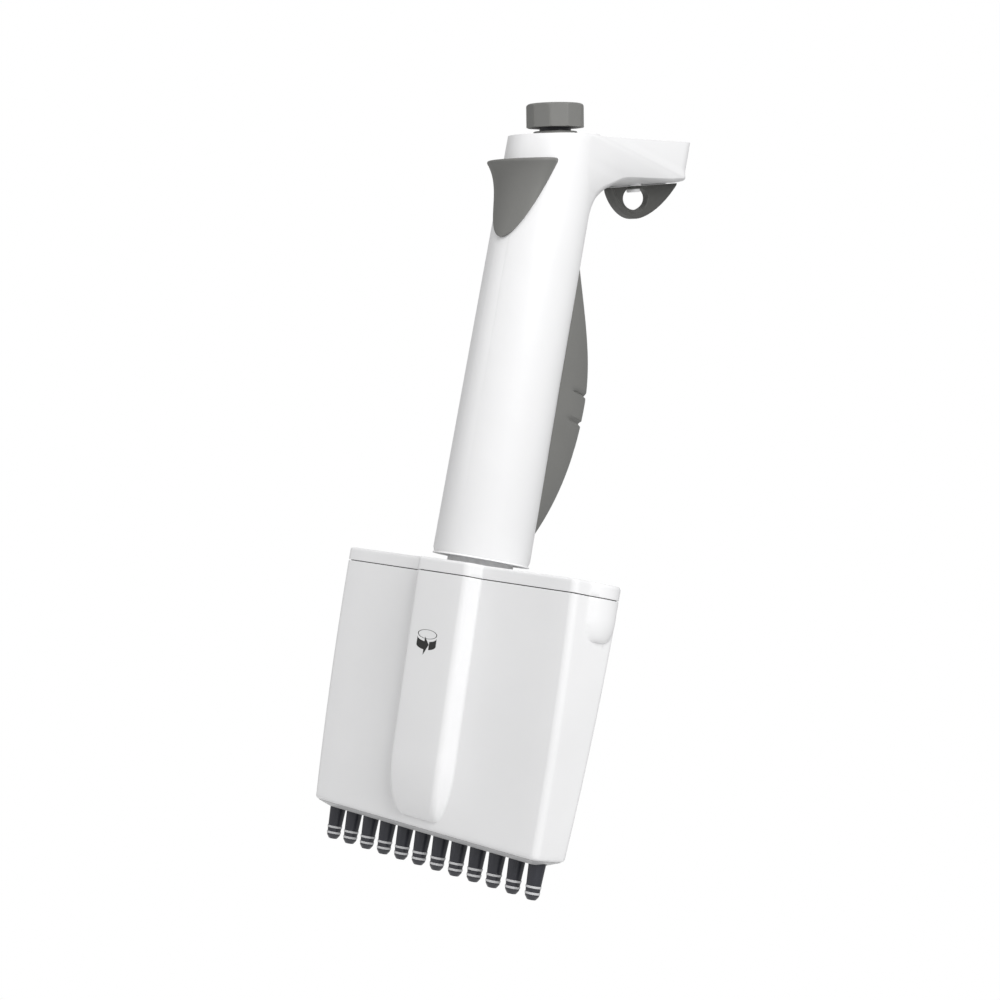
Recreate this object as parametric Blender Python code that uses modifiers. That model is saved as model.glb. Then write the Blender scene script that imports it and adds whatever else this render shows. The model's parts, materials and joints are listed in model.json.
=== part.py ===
"""Twelve channel electronic pipette, modelled as the separate pieces it is assembled from.

Frame: metres, +Z up the handle, X along the row of nozzles. The origin is the middle of the row on the
underside of the ejector plate, the face that pushes the tips off. The ejector button is on the -Y side and
the beak with the finger hook on the +Y side.
"""

import math

import bmesh
import bpy
from mathutils import Matrix, Vector

MM = 0.001
GAP = 0.3 * MM

# Row of nozzles
CHANNELS = 12
PITCH = 9.0 * MM
TIP_Z = -10.9 * MM
TIP_R = 1.35 * MM
TIP_CHAMFER = 1.3 * MM
CONE_R = 2.2 * MM
CONE_TOP_R = 2.75 * MM
RING_R = 2.42 * MM
RING_HALF = 0.36 * MM
RING_DROPS = (6.75 * MM, 8.75 * MM)
BARREL_R = 2.5 * MM
BARREL_TOP_Z = 46.0 * MM
NOZZLE_COLLAR_R = 2.85 * MM
AIR_R = 0.6 * MM
CYLINDER_R = 1.25 * MM
CYLINDER_FLOOR_Z = 6.0 * MM
PISTON_R = 0.9 * MM
PISTON_LOW_Z = 18.0 * MM
PISTON_HEAD_R = 2.0 * MM
PISTON_HEAD = 2.0 * MM

# Travels
EJECT_TRAVEL = 8.0 * MM
PISTON_TRAVEL = 8.0 * MM
PRESS_TRAVEL = 1.0 * MM

# Manifold, tapered in width and depth from the seam to the lower edge
MANIFOLD_LOW_Z = 2.0 * MM
SEAM_Z = 86.2 * MM
MANIFOLD_TOP_Z = 90.9 * MM
NOZZLE_END_GAP = 0.2 * MM
END_FLARE = 0.85 * MM
DEPTH_LOW = 14.9 * MM
DEPTH_SEAM = 22.4 * MM
MANIFOLD_WALL = 1.5 * MM
END_WALL = 1.0 * MM
CORNER_R = 2.6 * MM
EDGE_CHAMFER = 0.8 * MM
SPINE_HALF_X = 13.2 * MM
SPINE_PROUD = 6.0 * MM
SPINE_CORNER_R = 3.4 * MM
SPINE_END_Z = 5.5 * MM
SPINE_FULL_Z = 26.0 * MM
FAIRING_Y = 2.8 * MM
FAIRING_HALF_Y = 6.2 * MM
FAIRING_PROUD = 4.0 * MM
FAIRING_TIP_Z = 71.5 * MM
FAIRING_FULL_Z = 80.0 * MM

# Inside the manifold
PLATE_THICK = 1.7 * MM
PLATE_INSET = 0.9 * MM
BLOCK_LOW_Z = 4.0 * MM
BLOCK_TOP_Z = 16.0 * MM
BLOCK_HALF_Y = 5.7 * MM
GUIDE_PITCHES = 3
GUIDE_R = 1.5 * MM
PUSH_ROD_PITCHES = 5
PUSH_ROD_R = 1.2 * MM
BAR_Z = 62.0 * MM
BAR_THICK = 6.0 * MM
BAR_MARGIN = 1.9 * MM
BAR_HALF_Y = 4.0 * MM
HUB_R = 7.6 * MM
HUB_TALL = 9.0 * MM
YOKE_DROP = 1.5 * MM
YOKE_THICK = 5.0 * MM
YOKE_MARGIN = 2.5 * MM
YOKE_HALF_Y = 4.2 * MM

# Swivel joint between manifold and handle
NECK_R = 11.2 * MM
NECK_BORE_R = 9.0 * MM
NECK_FLANGE_R = 13.2 * MM
NECK_FLANGE_LOW_Z = 102.0 * MM
NECK_TOP_Z = 104.0 * MM
NECK_FOOT_R = 12.8 * MM
NECK_FOOT = 2.0 * MM
BUSH_LOW_Z = 94.0 * MM

# Handle
HANDLE_LOW_Z = 92.9 * MM
HANDLE_R = 16.5 * MM
HANDLE_TOP_R = 15.85 * MM
HANDLE_WALL = 2.0 * MM
HEAD_Z = 240.2 * MM
HEAD_TILT = math.radians(15.0)
BEAK_STEP = 0.8 * MM
BOSS_R = 15.4 * MM
BEAK_REACH = 63.2 * MM
BEAK_TIP_R = 9.6 * MM
BEAK_ROOT_R = 13.5 * MM
BEAK_UNDER_Z = 224.5 * MM
BEAK_FILLET_R = 22.0 * MM
BEAK_BLEND = 0.05 * MM
BEAK_EDGE_LONG = 6.0 * MM
KEEL_Z = 220.45 * MM
KEEL_TILT = math.radians(18.65)
KEEL_FLANK = math.radians(15.0)
KEEL_ROOT_Y = 20.0 * MM
KEEL_SUNK = 0.5 * MM

# Head fittings, heights along the tilted knob axis from the head's top plane
CAP_R = 13.4 * MM
CAP_THICK = 3.0 * MM
COLLAR_R = 7.5 * MM
COLLAR_PROUD = 1.4 * MM
COLLAR_SUNK = 1.2 * MM
SHAFT_R = 5.4 * MM
SPINDLE_R = 3.0 * MM
KNOB_FACETS = 10
KNOB_FLAT_R = 9.5 * MM
KNOB_LOW = 2.7 * MM
KNOB_TALL = 8.0 * MM
KNOB_EDGE_R = 1.5 * MM
ENCODER_R = 6.3 * MM
ENCODER_TALL = 6.5 * MM
DISPLAY_Y = 37.0 * MM
DISPLAY_LONG = 24.0 * MM
DISPLAY_WIDE = 14.0 * MM
WINDOW_THICK = 1.2 * MM
MODULE_THICK = 2.6 * MM
SOCKET_WIDE = 9.0 * MM
SOCKET_TALL = 3.4 * MM
SOCKET_DEEP = 7.0 * MM
SOCKET_RISE = 6.7 * MM

# Ejector
BUTTON_TOP_Z = 231.6 * MM
BUTTON_TIP_Z = 200.4 * MM
BUTTON_HALF_ANGLE = math.radians(56.0)
BUTTON_LIP_R = 22.3 * MM
BUTTON_LIP_EDGE = 1.2 * MM
LINK_LOW_Z = 214.0 * MM
LINK_TALL = 5.0 * MM
LINK_HALF_X = 2.2 * MM
EJECTOR_ROD_Y = -12.0 * MM
EJECTOR_ROD_R = 1.5 * MM
EJECTOR_ROD_TOP_Z = 221.0 * MM
SLEEVE_R = 8.7 * MM
SLEEVE_FLANGE_R = 11.0 * MM
SLEEVE_TOP_Z = 122.5 * MM
SLEEVE_FLANGE = 2.5 * MM
SPRING_WIRE_R = 0.45 * MM
SPRING_R = 9.9 * MM
SPRING_TURNS = 4

# Drive
DRIVE_R = 4.0 * MM
DRIVE_TOP_Z = 140.0 * MM
DRIVE_FLANGE_R = 5.4 * MM
DRIVE_FLANGE = 2.0 * MM
DRIVE_FLOOR = 2.7 * MM
NUT_BORE_LOW_Z = 113.0 * MM
SCREW_R = 2.0 * MM
SCREW_LOW_Z = 124.0 * MM
KEY_HALF_X = 1.5 * MM
KEY_LOW_Z = 134.0 * MM
KEY_TALL = 5.0 * MM
MOTOR_R = 9.0 * MM
MOTOR_LOW_Z = 147.3 * MM
MOTOR_TALL = 24.7 * MM
MOTOR_SOCKET = 8.0 * MM
MOUNT_R = 13.5 * MM
MOUNT_THICK = 2.0 * MM

# Electronics carrier
FRAME_Y = 9.4 * MM
FRAME_THICK = 1.4 * MM
FRAME_HALF_X = 8.5 * MM
FRAME_LOW_Z = 124.0 * MM
FRAME_TOP_Z = 218.0 * MM
SHELF_THICK = 3.7 * MM
BATTERY_R = 7.0 * MM
BATTERY_TALL = 34.0 * MM
BOARD_THICK = 1.1 * MM
BOARD_HALF_X = 6.5 * MM
BOARD_LOW_Z = 128.0 * MM
BOARD_TOP_Z = 216.0 * MM

# Grip pad on the back of the handle: height and reach of its crest
PAD_LOW_Z = 96.4 * MM
PAD_TOP_Z = 215.0 * MM
PAD_FULL_Z = 154.0 * MM
PAD_REACH = 33.6 * MM
PAD_HALF_X = 12.6 * MM
PAD_CENTRE_Y = 8.0 * MM
PAD_GROOVES_Z = (165.6 * MM, 155.8 * MM, 146.0 * MM, 136.2 * MM)
PAD_GROOVE_REACH = (0.24, 0.62, 0.62, 0.24)
PAD_GROOVE_DEEP = 1.0 * MM
PAD_GROOVE_HALF = 0.7 * MM

# Finger hook, in the plane of its web: v outwards along the beak's keel, w away from it
HOOK_Y = 42.0 * MM
HOOK_THICK = 3.8 * MM
HOOK_WEB = 1.5 * MM
HOOK_RIM = 1.3 * MM
HOOK_WEB_END_V = 7.5 * MM
HOOK_RAMP_END_V = 15.0 * MM
HOOK_TOP_W = 0.35 * MM
HOOK_EDGE_R = 0.6 * MM
HOOK_BACK_V = -13.5 * MM
HOOK_TIP_V = 22.5 * MM
HOOK_DEEP_W = 11.6 * MM
HOOK_DEEP_V = -0.5 * MM
HOOK_HOLE_HALF_V = 5.8 * MM
HOOK_HOLE_HALF_W = 4.0 * MM
HOOK_HOLE_W = 4.3 * MM
HOOK_BRIDGE_W = 1.45 * MM
STUD_R = 1.8 * MM
STUD_DISC_R = 3.0 * MM
STUD_DISC = 1.3 * MM
STUD_SHANK_R = 1.0 * MM
STUD_HEAD_R = 2.0 * MM
STUD_HEAD = 0.9 * MM

# Facets
LARGE_SEGMENTS = 40
MEDIUM_SEGMENTS = 24
SMALL_SEGMENTS = 12

ROW_HALF_X = (CHANNELS - 1) * PITCH / 2
END_LOW_X = ROW_HALF_X + NOZZLE_COLLAR_R + NOZZLE_END_GAP + END_WALL
END_SEAM_X = END_LOW_X + END_FLARE
GUIDE_X = GUIDE_PITCHES * PITCH
PUSH_ROD_X = PUSH_ROD_PITCHES * PITCH
BAR_HALF_X = ROW_HALF_X + BAR_MARGIN
YOKE_HALF_X = PUSH_ROD_X + YOKE_MARGIN
HUB_TOP_Z = BAR_Z + HUB_TALL
HANDLE_BORE_R = HANDLE_TOP_R - HANDLE_WALL
BARREL_HOLE_R = BARREL_R + GAP
GUIDE_HOLE_R = GUIDE_R + GAP
PUSH_ROD_HOLE_R = PUSH_ROD_R + GAP
DRIVE_HOLE_R = DRIVE_R + GAP
SCREW_HOLE_R = SCREW_R + GAP
CAP_LOW_Z = SEAM_Z + GAP
YOKE_TOP_Z = CAP_LOW_Z - YOKE_DROP
YOKE_LOW_Z = YOKE_TOP_Z - YOKE_THICK
KNOB_TOP = KNOB_LOW + KNOB_TALL
MOTOR_TOP_Z = MOTOR_LOW_Z + MOTOR_TALL
SHELF_LOW_Z = MOTOR_TOP_Z + GAP
BATTERY_LOW_Z = SHELF_LOW_Z + SHELF_THICK + GAP
BATTERY_TOP_Z = BATTERY_LOW_Z + BATTERY_TALL
TAN_TILT = math.tan(HEAD_TILT)


# Scene and object helpers


def clear_scene():
    for old in list(bpy.data.objects):
        bpy.data.objects.remove(old)


def new_collection(name):
    made = bpy.data.collections.new(name)
    bpy.context.scene.collection.children.link(made)
    return made


clear_scene()
PARTS = new_collection("electronic_pipette")
CUTTERS = new_collection("cutters")
CUTTERS.hide_render = True


def material(name, colour, roughness, metallic=0.0):
    made = bpy.data.materials.new(name)
    made.use_nodes = True
    shader = made.node_tree.nodes["Principled BSDF"]
    shader.inputs["Base Color"].default_value = (*colour, 1.0)
    shader.inputs["Roughness"].default_value = roughness
    shader.inputs["Metallic"].default_value = metallic
    return made


WHITE = material("white_shell", (0.86, 0.86, 0.87), 0.35)
GREY = material("grey_grip", (0.25, 0.25, 0.24), 0.55)
DARK = material("dark_nozzle", (0.05, 0.05, 0.065), 0.4)
STEEL = material("steel", (0.6, 0.6, 0.62), 0.3, 1.0)
ALLOY = material("alloy", (0.7, 0.7, 0.72), 0.4, 1.0)
NATURAL = material("natural_polymer", (0.8, 0.78, 0.72), 0.5)
BOARD = material("board", (0.03, 0.22, 0.1), 0.5)
CELL = material("cell_wrap", (0.12, 0.2, 0.45), 0.45)
GLASS = material("window", (0.05, 0.06, 0.07), 0.1)


def place(obj, collection, parent=None):
    for home in list(obj.users_collection):
        home.objects.unlink(obj)
    collection.objects.link(obj)
    obj.parent = parent
    return obj


def mesh_object(name, mesh, parent=None):
    obj = bpy.data.objects.new(name, mesh)
    return place(obj, PARTS, parent)


def axis_empty(name, location, tilt=0.0):
    empty = bpy.data.objects.new(name, None)
    empty.location = location
    empty.rotation_euler = (tilt, 0.0, 0.0)
    return place(empty, PARTS)


def finish(obj, paint, smooth_angle=35.0):
    obj.data.materials.clear()
    obj.data.materials.append(paint)
    if obj.data.polygons:
        obj.data.shade_smooth()
        obj.data.set_sharp_from_angle(angle=math.radians(smooth_angle))
    return obj


def as_cutter(obj):
    place(obj, CUTTERS, obj.parent)
    obj.hide_render = True
    obj.display_type = "WIRE"
    return obj


def combine(target, other, operation):
    modifier = target.modifiers.new(operation.lower(), "BOOLEAN")
    modifier.operation = operation
    modifier.solver = "EXACT"
    modifier.object = as_cutter(other)
    return target


def cut(target, *others):
    for other in others:
        combine(target, other, "DIFFERENCE")
    return target


def join(target, *others):
    for other in others:
        combine(target, other, "UNION")
    return target


# Shape helpers


def block(name, x, y, z, parent=None):
    """A box between the two values of each of x, y and z."""
    size = Matrix.Diagonal((x[1] - x[0], y[1] - y[0], z[1] - z[0], 1.0))
    middle = Matrix.Translation(((x[0] + x[1]) / 2, (y[0] + y[1]) / 2, (z[0] + z[1]) / 2))
    made = bmesh.new()
    bmesh.ops.create_cube(made, size=1.0, matrix=middle @ size)
    mesh = bpy.data.meshes.new(name)
    made.to_mesh(mesh)
    made.free()
    return mesh_object(name, mesh, parent)


def posts(name, places, radius, z, segments=SMALL_SEGMENTS, parent=None):
    """Upright cylinders of one radius at the (x, y) places, in one mesh."""
    made = bmesh.new()
    for x, y in places:
        bmesh.ops.create_cone(
            made,
            cap_ends=True,
            segments=segments,
            radius1=radius,
            radius2=radius,
            depth=z[1] - z[0],
            matrix=Matrix.Translation((x, y, (z[0] + z[1]) / 2)),
        )
    mesh = bpy.data.meshes.new(name)
    made.to_mesh(mesh)
    made.free()
    return mesh_object(name, mesh, parent)


def post(name, radius, z, segments=MEDIUM_SEGMENTS, parent=None, at=(0.0, 0.0)):
    return posts(name, [at], radius, z, segments, parent)


def turned(name, profile, segments=MEDIUM_SEGMENTS, parent=None, closed=False):
    """A profile of (radius, height) pairs, top to bottom down the outer side, turned about local Z."""
    mesh = bpy.data.meshes.new(name)
    points = [(radius, 0.0, height) for radius, height in profile]
    edges = [(i, i + 1) for i in range(len(points) - 1)]
    if closed:
        edges.append((len(points) - 1, 0))
    mesh.from_pydata(points, edges, [])
    obj = mesh_object(name, mesh, parent)
    screw = obj.modifiers.new("turn", "SCREW")
    screw.steps = segments
    screw.render_steps = segments
    screw.use_merge_vertices = True
    screw.merge_threshold = 0.00001
    screw.use_smooth_shade = True
    return obj


def tube(name, outer, inner, z, segments=MEDIUM_SEGMENTS, parent=None):
    profile = [(outer, z[1]), (outer, z[0]), (inner, z[0]), (inner, z[1])]
    return turned(name, profile, segments, parent, closed=True)


def loft(name, rings, parent=None):
    """A closed skin through rings of equally many points, with a flat cap on each end."""
    made = bmesh.new()
    rows = [[made.verts.new(point) for point in ring] for ring in rings]
    for low, high in zip(rows, rows[1:]):
        for i in range(len(low)):
            j = (i + 1) % len(low)
            made.faces.new((low[i], low[j], high[j], high[i]))
    made.faces.new(list(reversed(rows[0])))
    made.faces.new(rows[-1])
    bmesh.ops.recalc_face_normals(made, faces=made.faces)
    mesh = bpy.data.meshes.new(name)
    made.to_mesh(mesh)
    made.free()
    return mesh_object(name, mesh, parent)


def ellipse(centre, half_x, half_y, z, points=MEDIUM_SEGMENTS):
    turns = [2.0 * math.pi * i / points for i in range(points)]
    return [(centre[0] + half_x * math.cos(a), centre[1] + half_y * math.sin(a), z) for a in turns]


def rounded_rectangle(half_x, half_y, radius, z, arc_steps=4):
    corners = ((1, 1, 0), (-1, 1, 90), (-1, -1, 180), (1, -1, 270))
    outline = []
    for side_x, side_y, start in corners:
        for step in range(arc_steps + 1):
            angle = math.radians(start + 90.0 * step / arc_steps)
            x = side_x * (half_x - radius) + radius * math.cos(angle)
            y = side_y * (half_y - radius) + radius * math.sin(angle)
            outline.append((x, y, z))
    return outline


def extruded(name, outline, thickness, parent=None):
    """A flat outline in local XY made into a plate of the given thickness about local Z = 0."""
    curve = bpy.data.curves.new(name, "CURVE")
    curve.dimensions = "2D"
    curve.fill_mode = "BOTH"
    curve.extrude = thickness / 2
    spline = curve.splines.new("POLY")
    spline.points.add(len(outline) - 1)
    for point, (x, y) in zip(spline.points, outline):
        point.co = (x, y, 0.0, 1.0)
    spline.use_cyclic_u = True
    flat = bpy.data.objects.new(name + "_outline", curve)
    PARTS.objects.link(flat)
    graph = bpy.context.evaluated_depsgraph_get()
    mesh = bpy.data.meshes.new_from_object(flat.evaluated_get(graph))
    bpy.data.objects.remove(flat)
    made = bmesh.new()
    made.from_mesh(mesh)
    bmesh.ops.remove_doubles(made, verts=made.verts, dist=0.000001)
    made.to_mesh(mesh)
    made.free()
    return mesh_object(name, mesh, parent)


# Dimensions that follow from the sizes above


def nozzle_x(index):
    return (index - (CHANNELS - 1) / 2) * PITCH


def taper(low, high, z):
    return low + (high - low) * (z - MANIFOLD_LOW_Z) / (SEAM_Z - MANIFOLD_LOW_Z)


def manifold_half_x(z):
    return taper(END_LOW_X, END_SEAM_X, z)


def manifold_half_y(z):
    return taper(DEPTH_LOW, DEPTH_SEAM, z) / 2


def handle_radius(z):
    share = (z - HANDLE_LOW_Z) / (HEAD_Z - HANDLE_LOW_Z)
    return HANDLE_R + (HANDLE_TOP_R - HANDLE_R) * min(max(share, 0.0), 1.0)


def head_plane_z(y, drop=0.0):
    """Height of the tilted top plane, lowered by drop along its normal, over the given y."""
    return HEAD_Z + y * TAN_TILT - drop / math.cos(HEAD_TILT)


def beak_under_z(y):
    return BEAK_UNDER_Z + y * TAN_TILT


def keel_z(y):
    return KEEL_Z + y * math.tan(KEEL_TILT)


def smoothstep(t):
    t = min(max(t, 0.0), 1.0)
    return t * t * (3.0 - 2.0 * t)


# Axes of the moving pieces

HANDLE_AXIS = axis_empty("handle_axis", (0.0, 0.0, 0.0))
MANIFOLD_AXIS = axis_empty("manifold_axis", (0.0, 0.0, 0.0))
CARRIAGE_AXIS = axis_empty("carriage_axis", (0.0, 0.0, 0.0))
DRIVE_AXIS = axis_empty("drive_axis", (0.0, 0.0, 0.0))
EJECTOR_AXIS = axis_empty("ejector_axis", (0.0, 0.0, 0.0))
KNOB_AXIS = axis_empty("knob_axis", (0.0, 0.0, HEAD_Z), HEAD_TILT)
HOOK_AXIS = axis_empty("hook_axis", (0.0, HOOK_Y, keel_z(HOOK_Y)), KEEL_TILT)


# Manifold


def spine_rings(inset, low_z, high_z):
    """Upright rounded spine through the middle of the manifold, proud of both faces."""
    span = SPINE_FULL_Z - SPINE_END_Z
    levels = [SPINE_END_Z + span * share for share in (0.0, 0.12, 0.3, 0.55, 0.8, 1.0)]
    levels += [SEAM_Z, MANIFOLD_TOP_Z]
    levels = [z for z in levels if low_z < z < high_z]
    rings = []
    for z in [low_z] + levels + [high_z]:
        rise = min(max((z - SPINE_END_Z) / span, 0.0), 1.0)
        bulge = math.sqrt(max(0.0, 1.0 - (1.0 - rise) ** 2))
        half_x = SPINE_HALF_X * (0.62 + 0.38 * bulge) - inset
        half_y = manifold_half_y(z) + SPINE_PROUD * bulge - inset
        rings.append(rounded_rectangle(half_x, half_y, SPINE_CORNER_R - inset / 2, z))
    return rings


def end_fairing(name, side, low_z, high_z):
    """Rounded swelling at the top of an end face."""
    span = FAIRING_FULL_Z - FAIRING_TIP_Z
    levels = [FAIRING_TIP_Z + span * share for share in (0.0, 0.15, 0.4, 0.7, 1.0)]
    levels = [low_z] + [z for z in levels if low_z < z < high_z] + [high_z]
    rings = []
    for z in levels:
        rise = min(max((z - FAIRING_TIP_Z) / span, 0.0), 1.0)
        bulge = math.sqrt(max(0.0, 1.0 - (1.0 - rise) ** 2))
        centre = (side * (manifold_half_x(z) - 1.0 * MM), FAIRING_Y)
        half_x = (0.5 + 0.5 * bulge) * MM + FAIRING_PROUD * bulge
        rings.append(ellipse(centre, half_x, FAIRING_HALF_Y * (0.25 + 0.75 * bulge), z))
    return loft(name, rings, MANIFOLD_AXIS)


def manifold_body(name, levels, inset_x=0.0, inset_y=0.0):
    rings = []
    for z, extra in levels:
        half_x = manifold_half_x(z) - inset_x - extra
        half_y = manifold_half_y(z) - inset_y - extra
        rings.append(rounded_rectangle(half_x, half_y, CORNER_R - inset_x / 2, z))
    return loft(name, rings, MANIFOLD_AXIS)


def make_manifold_housing():
    edge = MANIFOLD_LOW_Z + EDGE_CHAMFER
    shell = manifold_body("manifold_housing", [(MANIFOLD_LOW_Z, EDGE_CHAMFER), (edge, 0.0), (SEAM_Z, 0.0)])
    join(shell, loft("housing_spine", spine_rings(0.0, SPINE_END_Z, SEAM_Z), MANIFOLD_AXIS))
    for side, word in ((-1, "left"), (1, "right")):
        join(shell, end_fairing("housing_fairing_" + word, side, FAIRING_TIP_Z, SEAM_Z))
    past = 1.0 * MM
    hollow = manifold_body(
        "housing_hollow",
        [(MANIFOLD_LOW_Z - past, 0.0), (SEAM_Z + past, 0.0)],
        END_WALL,
        MANIFOLD_WALL,
    )
    spine_floor = SPINE_FULL_Z + MANIFOLD_WALL
    hollow_spine = loft("hollow_spine", spine_rings(MANIFOLD_WALL, spine_floor, SEAM_Z + past), MANIFOLD_AXIS)
    cut(shell, hollow, hollow_spine)
    return finish(shell, WHITE)


def make_manifold_cap():
    edge = 0.5 * MM
    levels = [(CAP_LOW_Z, 0.0), (MANIFOLD_TOP_Z - edge, 0.0), (MANIFOLD_TOP_Z, edge)]
    cap = manifold_body("manifold_cap", levels)
    join(cap, loft("cap_spine", spine_rings(0.0, CAP_LOW_Z, MANIFOLD_TOP_Z), MANIFOLD_AXIS))
    for side, word in ((-1, "left"), (1, "right")):
        join(cap, end_fairing("cap_fairing_" + word, side, CAP_LOW_Z, MANIFOLD_TOP_Z - edge))
    foot_top = CAP_LOW_Z + NECK_FOOT + GAP
    past = 1.0 * MM
    bore = [
        (NECK_R + GAP, MANIFOLD_TOP_Z + past),
        (NECK_R + GAP, foot_top),
        (NECK_FOOT_R + GAP, foot_top),
        (NECK_FOOT_R + GAP, CAP_LOW_Z - past),
    ]
    bore = [(0.0, MANIFOLD_TOP_Z + past)] + bore + [(0.0, CAP_LOW_Z - past)]
    cut(cap, turned("cap_bore", bore, LARGE_SEGMENTS, MANIFOLD_AXIS))
    return finish(cap, WHITE)


def make_swivel_neck():
    profile = [
        (NECK_FLANGE_R, NECK_TOP_Z),
        (NECK_FLANGE_R, NECK_FLANGE_LOW_Z),
        (NECK_R, NECK_FLANGE_LOW_Z),
        (NECK_R, CAP_LOW_Z + NECK_FOOT),
        (NECK_FOOT_R, CAP_LOW_Z + NECK_FOOT),
        (NECK_FOOT_R, CAP_LOW_Z),
        (NECK_BORE_R, CAP_LOW_Z),
        (NECK_BORE_R, NECK_TOP_Z),
    ]
    return finish(turned("swivel_neck", profile, LARGE_SEGMENTS, MANIFOLD_AXIS, closed=True), WHITE)


def make_cylinder_block():
    half_x = manifold_half_x(BLOCK_LOW_Z) - END_WALL - GAP
    levels = (BLOCK_LOW_Z, BLOCK_TOP_Z)
    rings = [rounded_rectangle(half_x, BLOCK_HALF_Y, CORNER_R - END_WALL, z) for z in levels]
    body = loft("cylinder_block", rings, MANIFOLD_AXIS)
    through = (BLOCK_LOW_Z - GAP, BLOCK_TOP_Z + GAP)
    barrels = [(nozzle_x(i), 0.0) for i in range(CHANNELS)]
    cut(body, posts("block_barrel_holes", barrels, BARREL_HOLE_R, through, SMALL_SEGMENTS, MANIFOLD_AXIS))
    rods = [(-PUSH_ROD_X, 0.0), (PUSH_ROD_X, 0.0)]
    cut(body, posts("block_rod_holes", rods, PUSH_ROD_HOLE_R, through, SMALL_SEGMENTS, MANIFOLD_AXIS))
    return finish(body, ALLOY)


def nozzle_profile():
    """Outer side from the barrel's rim down to the chamfered end, then up the stepped bore."""
    collar_top = BLOCK_LOW_Z - GAP
    outer = [
        (BARREL_R, BARREL_TOP_Z),
        (BARREL_R, collar_top),
        (NOZZLE_COLLAR_R, collar_top),
        (NOZZLE_COLLAR_R, PLATE_THICK + GAP),
        (CONE_TOP_R, PLATE_THICK + GAP),
        (CONE_R, -RING_DROPS[0] + RING_HALF),
    ]
    for drop in RING_DROPS:
        outer += [(RING_R, -drop + RING_HALF), (RING_R, -drop - RING_HALF)]
        outer += [(CONE_R, -drop - RING_HALF)]
        if drop != RING_DROPS[-1]:
            outer += [(CONE_R, -RING_DROPS[-1] + RING_HALF)]
    outer += [(CONE_R, TIP_Z + TIP_CHAMFER), (TIP_R, TIP_Z)]
    bore = [
        (AIR_R, TIP_Z),
        (AIR_R, CYLINDER_FLOOR_Z),
        (CYLINDER_R, CYLINDER_FLOOR_Z),
        (CYLINDER_R, BARREL_TOP_Z),
    ]
    return outer + bore


def make_nozzle(index):
    nozzle = turned(f"nozzle_{index + 1:02d}", nozzle_profile(), SMALL_SEGMENTS, MANIFOLD_AXIS, closed=True)
    nozzle.location = (nozzle_x(index), 0.0, 0.0)
    return finish(nozzle, DARK)


def make_guide_rod(side, word):
    place_x = (side * GUIDE_X, 0.0)
    span = (BLOCK_TOP_Z + GAP, CAP_LOW_Z - GAP)
    return finish(post("guide_rod_" + word, GUIDE_R, span, SMALL_SEGMENTS, MANIFOLD_AXIS, place_x), STEEL)


# Piston carriage


def make_piston(index):
    head_top = BAR_Z - GAP
    profile = [
        (0.0, head_top),
        (PISTON_HEAD_R, head_top),
        (PISTON_HEAD_R, head_top - PISTON_HEAD),
        (PISTON_R, head_top - PISTON_HEAD),
        (PISTON_R, PISTON_LOW_Z),
        (0.0, PISTON_LOW_Z),
    ]
    piston = turned(f"piston_{index + 1:02d}", profile, SMALL_SEGMENTS, CARRIAGE_AXIS)
    piston.location = (nozzle_x(index), 0.0, 0.0)
    return finish(piston, STEEL)


def make_piston_bar():
    bar = block(
        "piston_bar",
        (-BAR_HALF_X, BAR_HALF_X),
        (-BAR_HALF_Y, BAR_HALF_Y),
        (BAR_Z, BAR_Z + BAR_THICK),
        CARRIAGE_AXIS,
    )
    join(bar, post("bar_hub", HUB_R, (BAR_Z, HUB_TOP_Z), MEDIUM_SEGMENTS, CARRIAGE_AXIS))
    pocket = (BAR_Z + DRIVE_FLOOR, HUB_TOP_Z + GAP)
    cut(bar, post("bar_pocket", DRIVE_FLANGE_R + GAP, pocket, MEDIUM_SEGMENTS, CARRIAGE_AXIS))
    through = (BAR_Z - GAP, BAR_Z + BAR_THICK + GAP)
    guides = [(-GUIDE_X, 0.0), (GUIDE_X, 0.0)]
    rods = [(-PUSH_ROD_X, 0.0), (PUSH_ROD_X, 0.0)]
    cut(bar, posts("bar_guide_holes", guides, GUIDE_HOLE_R, through, SMALL_SEGMENTS, CARRIAGE_AXIS))
    cut(bar, posts("bar_rod_holes", rods, PUSH_ROD_HOLE_R, through, SMALL_SEGMENTS, CARRIAGE_AXIS))
    return finish(bar, ALLOY)


def make_coupling_ring():
    span = (BAR_Z + DRIVE_FLOOR + GAP + DRIVE_FLANGE + GAP, HUB_TOP_Z)
    ring = tube("coupling_ring", DRIVE_FLANGE_R, DRIVE_HOLE_R, span, MEDIUM_SEGMENTS, CARRIAGE_AXIS)
    return finish(ring, STEEL)


# Drive: rod with its nut bore, lead screw, motor


def make_drive_rod():
    low = BAR_Z + DRIVE_FLOOR + GAP
    profile = [
        (DRIVE_R, DRIVE_TOP_Z),
        (DRIVE_R, low + DRIVE_FLANGE),
        (DRIVE_FLANGE_R, low + DRIVE_FLANGE),
        (DRIVE_FLANGE_R, low),
        (0.0, low),
    ]
    bore = [(0.0, NUT_BORE_LOW_Z), (SCREW_HOLE_R, NUT_BORE_LOW_Z), (SCREW_HOLE_R, DRIVE_TOP_Z)]
    rod = turned("drive_rod", [*bore, *profile], MEDIUM_SEGMENTS, DRIVE_AXIS)
    key_low = (DRIVE_R + SCREW_HOLE_R) / 2
    key = block(
        "drive_key",
        (-KEY_HALF_X, KEY_HALF_X),
        (key_low, FRAME_Y + FRAME_THICK - GAP),
        (KEY_LOW_Z, KEY_LOW_Z + KEY_TALL),
        DRIVE_AXIS,
    )
    join(rod, key)
    return finish(rod, STEEL)


def make_lead_screw():
    span = (SCREW_LOW_Z, MOTOR_LOW_Z + MOTOR_SOCKET - GAP)
    return finish(post("lead_screw", SCREW_R, span, SMALL_SEGMENTS, DRIVE_AXIS), STEEL)


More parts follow.
